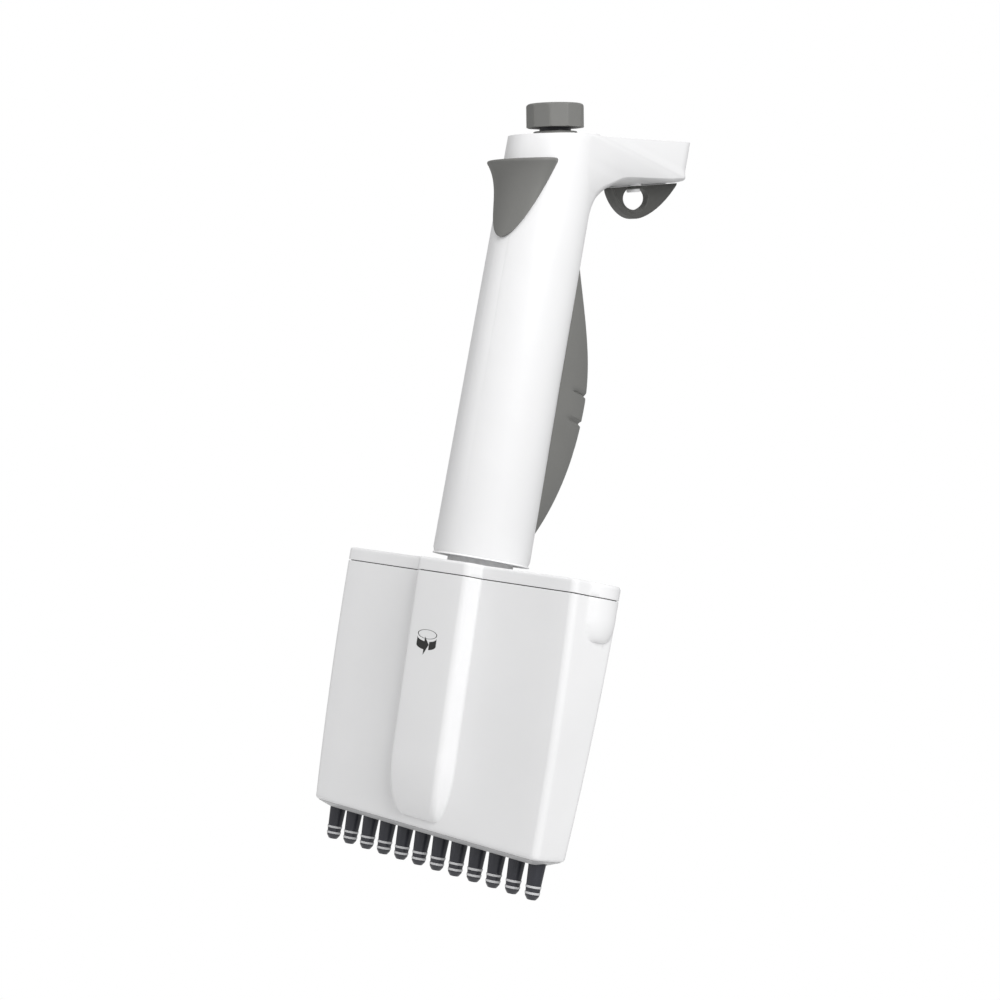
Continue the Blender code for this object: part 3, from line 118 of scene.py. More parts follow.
HEAD_FRAME = Matrix.Translation((0.0, 0.0, HEAD_Z * MM)) @ Matrix.Rotation(TILT, 4, "X")
HOOK_PLACE = Matrix.Translation((0.0, HOOK_Y * MM, keel_z(HOOK_Y) * MM))
HOOK_FRAME = HOOK_PLACE @ Matrix.Rotation(KEEL_TILT, 4, "X")


# Mesh helpers


def mesh_piece(name, points, faces):
    mesh = bpy.data.meshes.new(name)
    mesh.from_pydata([[v * MM for v in p] for p in points], [], faces)
    mesh.validate()
    made = bmesh.new()
    made.from_mesh(mesh)
    bmesh.ops.recalc_face_normals(made, faces=made.faces)
    made.to_mesh(mesh)
    made.free()
    obj = bpy.data.objects.new(name, mesh)
    bpy.context.scene.collection.objects.link(obj)
    return obj


def loft(name, rings):
    """A skin over rings of equally many points, with a flat face on the first and the last."""
    points = [p for ring in rings for p in ring]
    n = len(rings[0])
    faces = []
    for k in range(len(rings) - 1):
        for i in range(n):
            j = (i + 1) % n
            faces.append((k * n + i, k * n + j, (k + 1) * n + j, (k + 1) * n + i))
    faces.append(tuple(reversed(range(n))))
    faces.append(tuple(range((len(rings) - 1) * n, len(rings) * n)))
    return mesh_piece(name, points, faces)


def turned(name, profile, segments):
    """A profile of (radius, height) turned about Z."""
    turns = circle(segments)
    rings = [[(r * math.cos(a), r * math.sin(a), z) for a in turns] for r, z in profile]
    return loft(name, rings)


def box(name, x, y, z):
    points = [(a, b, c) for a in x for b in y for c in z]
    faces = [(0, 1, 3, 2), (4, 6, 7, 5), (0, 4, 5, 1), (2, 3, 7, 6), (0, 2, 6, 4), (1, 5, 7, 3)]
    return mesh_piece(name, points, faces)


def drum(name, radius, z, segments):
    return turned(name, [(radius, z[1]), (radius, z[0])], segments)


def prism(name, outline, z):
    return loft(name, [[(x, y, height) for x, y in outline] for height in z])


def moved(obj, matrix):
    obj.data.transform(matrix)
    return obj


def bake(obj):
    """Puts the modified shape in place of the modifiers."""
    bpy.context.view_layer.update()
    graph = bpy.context.evaluated_depsgraph_get()
    mesh = bpy.data.meshes.new_from_object(obj.evaluated_get(graph))
    obj.modifiers.clear()
    obj.data = mesh
    return obj


def boolean(obj, other, operation="DIFFERENCE"):
    modifier = obj.modifiers.new("boolean", "BOOLEAN")
    modifier.operation = operation
    modifier.solver = "EXACT"
    modifier.object = other
    bake(obj)
    bpy.data.objects.remove(other)


def merge_flat(obj, degrees):
    """Merges doubled points and faces that lie in one plane to within some degrees."""
    made = bmesh.new()
    made.from_mesh(obj.data)
    bmesh.ops.remove_doubles(made, verts=made.verts, dist=0.00001)
    limit = math.radians(degrees)
    bmesh.ops.dissolve_limit(made, angle_limit=limit, verts=made.verts, edges=made.edges)
    made.to_mesh(obj.data)
    made.free()


def bevel(obj, width, segments, degrees):
    modifier = obj.modifiers.new("soft_edges", "BEVEL")
    modifier.width = width * MM
    modifier.segments = segments
    modifier.limit_method = "ANGLE"
    modifier.angle_limit = math.radians(degrees)
    modifier.use_clamp_overlap = True
    modifier.miter_outer = "MITER_ARC"
    return bake(obj)


def shade(mesh, degrees):
    """Smooth shading, with a sharp edge where faces meet at more than some degrees."""
    mesh.shade_smooth()
    mesh.set_sharp_from_angle(angle=math.radians(degrees))


def dress(obj, body, nodes, material, degrees=30.0):
    obj.data.materials.clear()
    obj.data.materials.append(material)
    shade(obj.data, degrees)
    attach(obj, body)
    if nodes:
        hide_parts(*nodes)


# Materials: each noise has its scale and its detail


COLOUR_NOISE, GLOSS_NOISE, METAL_NOISE = (38.0, 4.0), (90.0, 6.0), (120.0, 5.0)
GRAIN_DETAIL = 3.0
COLOUR_SPAN, GLOSS_SPAN = (0.35, 0.65), (0.3, 0.7)
PLASTIC_RELIEF, METAL_RELIEF, METAL_DEPTH, METAL_DARK = 0.35, 0.2, 0.02, 0.85
COAT_ROUGHNESS, PLASTIC_IOR = 0.2, 1.49


def node(tree, kind, values=None):
    """A shader node with some of its inputs set."""
    made = tree.nodes.new("ShaderNode" + kind)
    for name, value in (values or {}).items():
        made.inputs[name].default_value = value
    return made


def noise(tree, vector, scale, detail):
    made = node(tree, "TexNoise", {"Scale": scale, "Detail": detail})
    tree.links.new(vector, made.inputs["Vector"])
    return made.outputs["Fac"]


def drift(tree, shader, amount, low, high, places=(0.0, 1.0)):
    """Base colour that goes from low to high with the amount."""
    ramp = node(tree, "ValToRGB")
    for i, colour in enumerate((low, high)):
        ramp.color_ramp.elements[i].position = places[i]
        ramp.color_ramp.elements[i].color = (*colour, 1.0)
    tree.links.new(amount, ramp.inputs["Fac"])
    tree.links.new(ramp.outputs["Color"], shader.inputs["Base Color"])


def patchy(tree, shader, amount, rough, span=(0.0, 1.0)):
    """Roughness that follows the amount over a span of its values."""
    limits = {"From Min": span[0], "From Max": span[1], "To Min": rough[0], "To Max": rough[1]}
    gloss = node(tree, "MapRange", limits)
    tree.links.new(amount, gloss.inputs["Value"])
    tree.links.new(gloss.outputs["Result"], shader.inputs["Roughness"])


def relief(tree, shader, height, strength, depth):
    """Bumps with a depth that is given in millimetres."""
    bump = node(tree, "Bump", {"Strength": strength, "Distance": depth * MM})
    tree.links.new(height, bump.inputs["Height"])
    tree.links.new(bump.outputs["Normal"], shader.inputs["Normal"])


def plastic(name, colour, rough, grain, depth, mottle, coat=0.0):
    """Moulded plastic: fine spark-eroded grain, patchy gloss and a slight, slow colour drift."""
    made = bpy.data.materials.new(name)
    made.use_nodes = True
    tree = made.node_tree
    shader = tree.nodes["Principled BSDF"]
    where = node(tree, "TexCoord").outputs["Object"]
    low = [c * (1.0 - mottle) for c in colour]
    high = [min(1.0, c * (1.0 + mottle * 0.5)) for c in colour]
    drift(tree, shader, noise(tree, where, *COLOUR_NOISE), low, high, COLOUR_SPAN)
    patchy(tree, shader, noise(tree, where, *GLOSS_NOISE), rough, GLOSS_SPAN)
    relief(tree, shader, noise(tree, where, grain, GRAIN_DETAIL), PLASTIC_RELIEF, depth)
    shader.inputs["Coat Weight"].default_value = coat
    shader.inputs["Coat Roughness"].default_value = COAT_ROUGHNESS
    shader.inputs["IOR"].default_value = PLASTIC_IOR
    return made


def metal(name, colour, rough, streak):
    """Worked metal, with fine streaks across the axis whose scale is high."""
    made = bpy.data.materials.new(name)
    made.use_nodes = True
    tree = made.node_tree
    shader = tree.nodes["Principled BSDF"]
    shader.inputs["Metallic"].default_value = 1.0
    where = node(tree, "TexCoord")
    stretch = node(tree, "Mapping", {"Scale": streak})
    tree.links.new(where.outputs["Object"], stretch.inputs["Vector"])
    amount = noise(tree, stretch.outputs["Vector"], *METAL_NOISE)
    drift(tree, shader, amount, [c * METAL_DARK for c in colour], colour)
    patchy(tree, shader, amount, rough)
    relief(tree, shader, amount, METAL_RELIEF, METAL_DEPTH)
    return made


# After the colour: roughness from and to, scale of the grain, its depth and the colour's drift.

WHITE = plastic("white_shell", (0.80, 0.80, 0.805), (0.34, 0.46), 2600.0, 0.02, 0.015)
GREY = plastic("grey_grip", (0.17, 0.17, 0.162), (0.5, 0.62), 3200.0, 0.05, 0.05)
# The hook's own dark grey, darkened further as painted shade for its place under the beak.
HOOK_GREY_WITH_PAINTED_SHADE = plastic("hook_grey_with_painted_shade", (0.07, 0.07, 0.066), (0.42, 0.55), 3200.0, 0.04, 0.05)
DARK = plastic("dark_nozzle", (0.022, 0.023, 0.03), (0.28, 0.4), 3600.0, 0.02, 0.08)
# The ejector plate's white, painted mid grey as painted shade on its downward sides.
PLATE_PAINTED_SHADE = plastic("plate_white_in_painted_shade", (0.5, 0.5, 0.505), (0.34, 0.46), 2600.0, 0.02, 0.015)
RING = plastic("seal_ring", (0.55, 0.55, 0.56), (0.4, 0.55), 3600.0, 0.02, 0.04)
# Black for the sheet in the seam's gap: a painted shadow.
SEAM_SHADOW_BLACK = plastic("painted_seam_shadow", (0.012, 0.012, 0.012), (0.6, 0.75), 3600.0, 0.02, 0.05)
NATURAL = plastic("natural_polymer", (0.66, 0.64, 0.58), (0.4, 0.55), 2600.0, 0.02, 0.03)
BOARD = plastic("board", (0.02, 0.14, 0.06), (0.35, 0.5), 2600.0, 0.02, 0.1)
CELL = plastic("cell_wrap", (0.05, 0.1, 0.3), (0.3, 0.45), 1800.0, 0.03, 0.05)
INK = plastic("ink", (0.01, 0.01, 0.01), (0.45, 0.6), 3600.0, 0.01, 0.05)
STEEL = metal("steel", (0.62, 0.62, 0.64), (0.22, 0.38), (1.0, 1.0, 60.0))
ALLOY = metal("alloy", (0.72, 0.72, 0.74), (0.3, 0.5), (60.0, 1.0, 1.0))
GLASS = plastic("window", (0.012, 0.014, 0.016), (0.05, 0.12), 1200.0, 0.002, 0.05, coat=1.0)

PAINT = {
    "white_shell": WHITE,
    "grey_grip": GREY,
    "dark_nozzle": DARK,
    "steel": STEEL,
    "alloy": ALLOY,
    "natural_polymer": NATURAL,
    "board": BOARD,
    "cell_wrap": CELL,
    "window": GLASS,
}

for row in frame["record"]["subparts"]:
    cad = frame["nodes"][row["node"]]
    cad.data.materials.clear()
    cad.data.materials.append(PAINT[row["material_slot"]])


# Manifold: one section that holds both spines and both end fairings, swept up the height


END_HALF, END_SWELL, END_DRAW = 55.15, 4.55, 3.7
LOW_DEPTH, SEAM_DEPTH = 14.9, 22.4
CORNER_R, CORNER_STEPS, SIDE_STEPS = 2.4, 8, 24
FACE_END = 8.0
# Shares of the inset that the corner's radius, the spine's half width and its rise lose.
INSET_R, INSET_HALF, INSET_PROUD = 0.5, 0.5, 0.3
# Heights of the plain levels: near the foot, between spine and fairing, at the seam, in the lid.
FOOT_LEVEL, MIDDLE_LEVELS, UPPER_LEVELS = 4.0, (32.0, 42.0, 52.0, 62.0, 70.0), (82.0, 85.0)
LID_LEVELS = (88.0, 89.6)

SPINE_LOW, SPINE_FULL = 5.0, 25.0
SPINE_PROUD, SPINE_HALF, SPINE_CROWN = 6.05, 15.4, 0.035
SPINE_FOOT_SHARE, SPINE_GAIN = 0.62, 0.38
SPINE_SIDE, SHOULDER_R = 2.4, 2.7
SPINE_FILLET, SPINE_SLANT = 1.1, 0.18
CROWN_STEPS, SHOULDER_STEPS, FILLET_STEPS = 5, 8, 6
STEEP = math.radians(80.0)

FAIRING_LOW, FAIRING_FULL, FAIRING_WIDE_Z, FAIRING_TALL = 72.2, 79.5, 79.0, 7.4
FAIRING_Y, FAIRING_HALF, FAIRING_OUT = 2.8, 6.6, 3.0
FAIRING_FOOT_SHARE, FAIRING_GAIN, FAIRING_ROUND = 0.35, 0.65, 0.75

LOW_ROUNDING = ((0.0, 0.8), (0.25, 0.42), (0.55, 0.15), (0.9, 0.0))
LID_ROUND = 0.9
SEAM_GAP, SEAM_EDGE = 0.3, 0.12
# Inset and overlap of the black sheet that paints the seam's shadow.
SEAM_SHADOW_INSET, SEAM_SHADOW_LAP = 0.75, 0.02


def half_x(z):
    """Half width, widest a little above the middle of the height."""
    t = (z - LOW_Z) / (SEAM_Z - LOW_Z)
    return END_HALF + END_SWELL * t - END_DRAW * t * t


def half_y(z):
    return lerp(LOW_DEPTH, SEAM_DEPTH, (z - LOW_Z) / (SEAM_Z - LOW_Z)) / 2


def spine_profile(proud, half):
    """Half of the spine's outline, from the middle outwards: crown, shoulder, side, fillet."""
    flat = half - SPINE_SIDE - SHOULDER_R
    out = []
    for i in range(CROWN_STEPS):
        x = flat * i / CROWN_STEPS
        out.append((x, 1.0 - SPINE_CROWN * (x / half) ** 2))
    top = 1.0 - SPINE_CROWN * (flat / half) ** 2
    for i in range(SHOULDER_STEPS + 1):
        a = STEEP * i / SHOULDER_STEPS
        y = SPINE_PROUD * top - SHOULDER_R * (1.0 - math.cos(a))
        out.append((flat + SHOULDER_R * math.sin(a), y / SPINE_PROUD))
    side_x, side_y = out[-1]
    foot_x = side_x + (side_y * SPINE_PROUD - SPINE_FILLET) * SPINE_SLANT
    for i in range(FILLET_STEPS + 1):
        a = STEEP * (1.0 - i / FILLET_STEPS)
        x = foot_x + SPINE_FILLET * (math.sin(STEEP) - math.sin(a))
        out.append((x, (SPINE_FILLET - SPINE_FILLET * math.cos(a)) / SPINE_PROUD))
    return [(x, y * proud) for x, y in out]


def bulge_rise(z, low, full):
    rise = clamp((z - low) / (full - low))
    return math.sqrt(max(0.0, 1.0 - (1.0 - rise) ** 2))


def fairing_out(y, z):
    """How far an end face stands out at (y, z): a rounded fairing that grows from the face."""
    share = FAIRING_FOOT_SHARE + FAIRING_GAIN * bulge_rise(z, FAIRING_LOW, FAIRING_WIDE_Z)
    t = (y - FAIRING_Y) / (FAIRING_HALF * share)
    proud = FAIRING_OUT * bulge_rise(z, FAIRING_LOW, FAIRING_FULL)
    return proud * (max(0.0, 1.0 - t * t) ** FAIRING_ROUND)


def section_corner(x, y, r, first, z):
    """Points of a rounded corner about (x, y), over 90 degrees from the first angle."""
    turns = [math.radians(first + 90.0 * i / CORNER_STEPS) for i in range(CORNER_STEPS + 1)]
    return [(x + r * math.cos(a), y + r * math.sin(a), z) for a in turns]


def manifold_section(z, inset):
    """Outline at height z, from the front face anticlockwise, drawn in by the inset."""
    hx, hy, r = half_x(z) - inset, half_y(z) - inset, CORNER_R - inset * INSET_R
    rise = bulge_rise(z, SPINE_LOW, SPINE_FULL)
    proud = max(0.0, SPINE_PROUD * rise - inset * INSET_PROUD)
    half = SPINE_HALF * (SPINE_FOOT_SHARE + SPINE_GAIN * rise) - inset * INSET_HALF
    profile = spine_profile(proud, half)
    face = [(-hx + r + FACE_END, 0.0)]
    face += [(-x, p) for x, p in reversed(profile[1:])] + profile
    face += [(hx - r - FACE_END, 0.0)]
    side = [-hy + r + (2 * hy - 2 * r) * i / SIDE_STEPS for i in range(1, SIDE_STEPS)]
    out = [(x, -hy - p, z) for x, p in face]
    out += section_corner(hx - r, -hy + r, r, -90.0, z)
    out += [(hx + fairing_out(y, z), y, z) for y in side]
    out += section_corner(hx - r, hy - r, r, 0.0, z)
    out += [(-x, hy + p, z) for x, p in face]
    out += section_corner(-hx + r, hy - r, r, 90.0, z)
    out += [(-hx - fairing_out(y, z), y, z) for y in reversed(side)]
    out += section_corner(-hx + r, -hy + r, r, 180.0, z)
    return out


def manifold_loft(name, levels):
    return loft(name, [manifold_section(z, inset) for z, inset in levels])


def manifold_pieces():
    heights = [FOOT_LEVEL, *crowded(SPINE_LOW, SPINE_FULL - SPINE_LOW, 22, 1.7)]
    heights += [*MIDDLE_LEVELS, *crowded(FAIRING_LOW, FAIRING_TALL, 18, 1.7)]
    heights += [*UPPER_LEVELS, SEAM_Z - SEAM_EDGE]
    levels = [(LOW_Z + rise, inset) for rise, inset in LOW_ROUNDING]
    levels += [(z, 0.0) for z in heights] + [(SEAM_Z, SEAM_EDGE)]
    shell = manifold_loft("manifold_shell", levels)
    dress(shell, "manifold", ["manifold_housing"], WHITE, 40.0)
    levels = [(SEAM_Z + SEAM_GAP, SEAM_EDGE)]
    levels += [(z, 0.0) for z in (SEAM_Z + (SEAM_GAP + SEAM_EDGE), *LID_LEVELS)]
    for a in quarter(6):
        z = TOP_Z - LID_ROUND + LID_ROUND * math.sin(a)
        levels.append((z, LID_ROUND - LID_ROUND * math.cos(a)))
    lid = manifold_loft("manifold_lid", levels)
    dress(lid, "manifold", ["manifold_cap"], WHITE, 40.0)
    # A black sheet inside the seam's gap, as its painted shadow.
    ends = (SEAM_Z - SEAM_SHADOW_LAP, SEAM_Z + (SEAM_GAP + SEAM_SHADOW_LAP))
    seam_shadow_sheet = manifold_loft("painted_seam_shadow", [(z, SEAM_SHADOW_INSET) for z in ends])
    dress(seam_shadow_sheet, "manifold", [], SEAM_SHADOW_BLACK)


# Ejector plate


PLATE_CORNER_R = 2.0
PLATE_LEVELS = ((0.25, 4.1), (0.3, 3.9), (0.42, 3.6), (1.78, 0.98), (1.88, 0.88), (1.95, 0.98))
PLATE_HOLE_R = 3.08
PLATE_HOLE_Z = (-OVER, 3.0)


def plate_ring(z, inset):
    hx, hy, r = half_x(LOW_Z) - inset, half_y(LOW_Z) - inset, PLATE_CORNER_R
    centres = ((hx - r, hy - r), (r - hx, hy - r), (r - hx, r - hy), (hx - r, r - hy))
    ring = []
    for turn, (x, y) in enumerate(centres):
        for i in range(CORNER_STEPS + 1):
            a = math.pi / 2 * (turn + i / CORNER_STEPS)
            ring.append((x + r * math.cos(a), y + r * math.sin(a), z))
    return ring


def plate_piece():
    """Ejector plate, whose slanted sides face down and so stay in half shade; its white is painted
    mid grey as painted shade.
    """
    plate = loft("tip_plate", [plate_ring(z, inset) for z, inset in PLATE_LEVELS])
    for i in range(CHANNELS):
        hole = drum("hole", PLATE_HOLE_R, PLATE_HOLE_Z, 48)
        boolean(plate, moved(hole, Matrix.Translation((channel_x(i), 0.0, 0.0))))
    dress(plate, "ejector_frame", ["ejector_plate"], PLATE_PAINTED_SHADE, 30.0)


# Turn mark: a plain bent arrow on the spine's front


MARK_X, MARK_Z = -1.85, 63.09
MARK_HALF, MARK_FLAT = 4.75, 1.55
MARK_OVAL_Z, MARK_BAND_TOP, MARK_BAND_LOW = 2.4, 1.5, -1.2
MARK_LINE = 0.92
MARK_HEAD = ([(-1.0, 1.55), (1.3, -0.95)], [(-1.0, -4.6), (1.3, -1.0)])
INK_THICK = 0.03


def spine_front(x, z):
    """The front spine's face at (x, z), with a hair's thickness of ink on it."""
    crown = SPINE_PROUD * (1.0 - SPINE_CROWN * (x / SPINE_HALF) ** 2)
    return -half_y(z) - crown - INK_THICK


def mark_piece():
    """A thin oval over a band in two lengths, with an arrowhead between them."""
    points, faces = [], []

    def strip(upper, lower):
        start = len(points)
        for x, z in upper + lower:
            x, z = MARK_X + x, MARK_Z + z
            points.append((x, spine_front(x, z), z))
        n = len(upper)
        for i in range(start, start + n - 1):
            faces.append((i, i + 1, n + i + 1, n + i))

    def arc(first, last, centre, steps=40, scale=1.0):
        turns = [math.radians(lerp(first, last, i / steps)) for i in range(steps + 1)]
        wide, flat = scale * MARK_HALF, scale * MARK_FLAT
        return [(wide * math.cos(a), centre + flat * math.sin(a)) for a in turns]

    strip(arc(0.0, 360.0, MARK_OVAL_Z, 90), arc(0.0, 360.0, MARK_OVAL_Z, 90, MARK_LINE))
    for first, last in ((180.0, 258.0), (287.0, 360.0)):
        strip(arc(first, last, MARK_BAND_TOP), arc(first, last, MARK_BAND_LOW))
    strip(*MARK_HEAD)
    mark = mesh_piece("turn_mark", points, faces)
    dress(mark, "manifold", [], INK)


# Nozzles: profiles of (radius, height) from the cylinder's top round to the end of the bore


NOZZLE_R, NOZZLE_END_R = 2.78, 2.3
NOZZLE_TOP = [(2.5, 46.0), (2.5, 3.7), (2.85, 3.7), (2.85, 2.0), (NOZZLE_R, 2.0), (NOZZLE_R, 0.0)]
NOZZLE_MOUTH = [(2.28, -9.55), (2.2, -9.8), (1.55, -10.75), (1.35, -10.9), (0.62, -10.9)]
NOZZLE_BORE = [(0.6, -4.0), (0.05, -4.0)]
RING_DROPS = (6.75, 8.75)
RING_HALVES = ((0.0, 0.42), (0.12, 0.36), (0.16, 0.28))
RING_PAINT_HALF, RING_PAINT_R = 0.34, 2.2


def nozzle_mesh():
    profile = list(NOZZLE_TOP)
    for drop in RING_DROPS:
        wall = lerp(NOZZLE_R, NOZZLE_END_R, drop / RING_DROPS[-1])
        profile += [(wall + out, -drop + half) for out, half in RING_HALVES]
        profile += [(wall + out, -drop - half) for out, half in reversed(RING_HALVES)]
    obj = turned("nozzle", profile + NOZZLE_MOUTH + NOZZLE_BORE, 56)
    mesh = obj.data
    mesh.materials.append(DARK)
    mesh.materials.append(RING)
    for face in mesh.polygons:
        x, y, z = face.center / MM
        near = min(abs(z + drop) for drop in RING_DROPS)
        if near < RING_PAINT_HALF and math.hypot(x, y) > RING_PAINT_R:
            face.material_index = 1
    shade(mesh, 30.0)
    bpy.data.objects.remove(obj)
    return mesh


def nozzle_pieces():
    mesh = nozzle_mesh()
    for i in range(CHANNELS):
        obj = bpy.data.objects.new(f"tip_cone_{i + 1:02d}", mesh)
        bpy.context.scene.collection.objects.link(obj)
        obj.location = (channel_x(i), 0.0, 0.0)
        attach(obj, "manifold")
        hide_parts(f"nozzle_{i + 1:02d}")


# Handle and beak


FILLET = 22.0
REACH = 63.2
ROUNDING = 3.6
WALL_SLIP = 0.05
FOOT_ROUND = 0.5
PLAIN_HANDLE = (HANDLE_LOW + 2.0, 120.0, 150.0, 180.0, 200.0)
TIP_WIDE, TIP_NARROW, TIP_LONG, FLAT_SHARE = 13.5, 9.6, 6.0, 0.2
END_DRAWN, END_FROM, END_OVER = 1.6, 0.82, 0.18
BLANK_TOP = 268.0
FAR = 90.0

KEEL_BACK, KEEL_LAP, KEEL_FLANK = 20.0, 0.5, math.radians(15.0)

STEP_DOWN, BOSS_R, CAP_R = 0.8, 15.4, 13.7
DISC_R, DISC_Z = 3.25, (-2.0, 1.6)
POCKET_Z = (-4.0, OVER)
WINDOW_X, WINDOW_Y = (-7.3, 7.3), (24.7, 49.3)
LINK_X, LINK_Y, LINK_Z = (-2.5, 2.5), (-18.0, -12.0), (205.7, 219.3)
SOCKET_X, SOCKET_Y, SOCKET_RISE, SOCKET_HALF = (-4.8, 4.8), (55.9, 66.0), 6.7, 2.0
HANDLE_EDGE = 0.35


def handle_radius(z):
    return lerp(HANDLE_R, HANDLE_TOP_R, clamp((z - HANDLE_LOW) / (HEAD_Z - HANDLE_LOW)))


def under_z(y):
    return UNDER_Z + y * TAN


def beak_reach(z):
    """Reach in +Y at height z: the handle's wall, the fillet, then the beak's underside."""
    tangent = FILLET * math.tan((math.pi / 2 - TILT) / 2)
    corner_z = under_z(HANDLE_TOP_R)
    centre_z = corner_z - tangent
    top_z = corner_z + tangent * math.sin(TILT)
    wall = handle_radius(z) + WALL_SLIP
    if z <= centre_z:
        return wall
    if z <= top_z:
        rise = math.sqrt(max(0.0, FILLET**2 - (z - centre_z) ** 2))
        return max(wall, HANDLE_TOP_R + FILLET - rise)
    return min((z - UNDER_Z) / TAN, REACH)


def pill(root, tip, tip_long, reach, z, steps=56):
    """Outline round the handle's circle and an ellipse whose far side is at y = reach."""
    centre = reach - tip_long
    lean = math.asin(clamp((root - tip) / centre))
    out = []
    for i in range(steps + 1):
        a = lean + (math.pi - 2 * lean) * i / steps
        out.append((tip * math.cos(a), centre + tip_long * math.sin(a), z))
    for i in range(steps + 1):
        a = math.pi - lean + (math.pi + 2 * lean) * i / steps
        out.append((root * math.cos(a), root * math.sin(a), z))
    return out


def beak_ring(z):
    root = handle_radius(z)
    reach = beak_reach(z)
    along = clamp((reach - root) / (REACH - root))
    shaped = clamp((z - under_z(REACH)) / ROUNDING)
    drawn = 1.0 - math.sqrt(max(0.0, 1.0 - (1.0 - shaped) ** 2))
    reach -= END_DRAWN * drawn * smooth((along - END_FROM) / END_OVER)
    tip = max(lerp(TIP_WIDE, TIP_NARROW, along), root - (reach - root))
    flat = smooth(along / FLAT_SHARE) * (1.0 - smooth(shaped))
    return pill(root, tip, lerp(tip, TIP_LONG, flat), reach, z)


def keel():
    """V shaped keel below the beak's underside, which runs out before its end."""
    end_y = (UNDER_Z - KEEL_Z) / (math.tan(KEEL_TILT) - TAN)
    rings = []
    for y in (KEEL_BACK, end_y):
        top = under_z(y) + KEEL_LAP
        half = (top - keel_z(y)) / math.tan(KEEL_FLANK)
        rings.append([(0.0, y, keel_z(y)), (half, y, top), (-half, y, top)])
    return loft("keel", rings)


def handle_blank(steps=64):
    """Handle and beak in one loft, up to above the head's slanted top."""
    end_z = under_z(REACH)
    fillet_low = under_z(HANDLE_TOP_R) - FILLET
    rings = []
    for a in quarter(4):
        z = HANDLE_LOW + FOOT_ROUND * math.sin(a)
        root = handle_radius(z) - FOOT_ROUND * (1.0 - math.cos(a))
        rings.append(pill(root, root - WALL_SLIP, root - WALL_SLIP, root + WALL_SLIP, z))
    levels = list(PLAIN_HANDLE)
    levels += [fillet_low + (end_z - fillet_low) * i / steps for i in range(1, steps)]
    levels += [end_z + ROUNDING * (i / 12) for i in range(13)] + [BLANK_TOP]
    rings += [beak_ring(z) for z in levels]
    return loft("handle_shell", rings)


def handle_piece():
    shell = handle_blank()
    boolean(shell, keel(), "UNION")
    lid = box("lid", (-FAR, FAR), (-FAR, FAR), (0.0, FAR))
    boolean(shell, moved(lid, HEAD_FRAME))
    step = box("step", (-FAR, FAR), (0.0, FAR), (-STEP_DOWN, FAR))
    boolean(step, drum("boss", BOSS_R, (-FAR, 2 * FAR), 128))
    boolean(shell, moved(step, HEAD_FRAME))
    boolean(shell, moved(drum("disc_seat", DISC_R, DISC_Z, 64), HOOK_FRAME))
    window = box("window_hole", WINDOW_X, WINDOW_Y, POCKET_Z)
    boolean(shell, moved(window, HEAD_FRAME))
    boolean(shell, moved(drum("cap_hole", CAP_R, POCKET_Z, 96), HEAD_FRAME))
    boolean(shell, box("link_slot", LINK_X, LINK_Y, LINK_Z))
    height = under_z(REACH) + SOCKET_RISE
    ends = (height - SOCKET_HALF, height + SOCKET_HALF)
    boolean(shell, box("socket_hole", SOCKET_X, SOCKET_Y, ends))
    merge_flat(shell, 0.3)
    bevel(shell, HANDLE_EDGE, 3, 48.0)
    dress(shell, "handle", ["handle_housing"], WHITE, 38.0)


# Grip pad


PAD_LOW, PAD_FULL, PAD_TOP = 96.4, 154.0, 215.0
PAD_REACH, PAD_HALF_X, PAD_CENTRE_Y = 33.6, 12.6, 8.0
PAD_GAP = 0.08
SEAT_Z = (230.0, 92.0)
CREST_EASED, CREST_EVEN, CREST_POWER = 0.9, 0.1, 2.2
PAD_END_SHARE, PAD_END_POWER, PAD_SIDE_POWER = 0.02, 2.4, 0.6
# Each groove's height, and how far it goes round from the crest as a share of a quarter turn.
GROOVES = ((165.6, 0.3), (155.8, 0.74), (146.0, 0.74), (136.2, 0.3))
GROOVE_HALF, GROOVE_DEEP = 0.62, 1.0
GROOVE_END, GROOVE_FADE = 0.08, 0.12


def pad_crest(z):
    if z > PAD_FULL:
        share = (z - PAD_FULL) / (PAD_TOP - PAD_FULL)
        eased_share = 0.5 - 0.5 * math.cos(math.pi * clamp(share))
        fall = CREST_EASED * eased_share + CREST_EVEN * share
    else:
        fall = ((PAD_FULL - z) / (PAD_FULL - PAD_LOW)) ** CREST_POWER
    return PAD_REACH - (PAD_REACH - HANDLE_R) * fall


def pad_ring(z, count=96):
    share = clamp(abs(2.0 * z - PAD_LOW - PAD_TOP) / (PAD_TOP - PAD_LOW))
    wide = PAD_HALF_X * max(PAD_END_SHARE, 1.0 - share**PAD_END_POWER) ** PAD_SIDE_POWER
    tall = pad_crest(z) - PAD_CENTRE_Y
    ring = []
    for a in circle(count):
        from_crest = abs(math.atan2(math.cos(a), math.sin(a))) / (math.pi / 2)
        inset = 0.0
        for place, reach in GROOVES:
            cut = GROOVE_DEEP * math.exp(-(((z - place) / GROOVE_HALF) ** 4))
            inset += cut * (1.0 - smooth((from_crest - reach + GROOVE_END) / GROOVE_FADE))
        deep = tall if math.sin(a) > 0 else min(tall, PAD_CENTRE_Y)
        ring.append(((wide - inset) * math.cos(a), PAD_CENTRE_Y + (deep - inset) * math.sin(a), z))
    return ring


def pad_piece():
    pad = loft("palm_pad", [pad_ring(z) for z in eased(PAD_LOW, PAD_TOP, 260)])
    seat = turned("seat", [(handle_radius(z) + PAD_GAP, z) for z in SEAT_Z], 128)
    boolean(pad, seat)
    merge_flat(pad, 0.05)
    dress(pad, "handle", ["grip_pad"], GREY, 40.0)


# Ejector shield


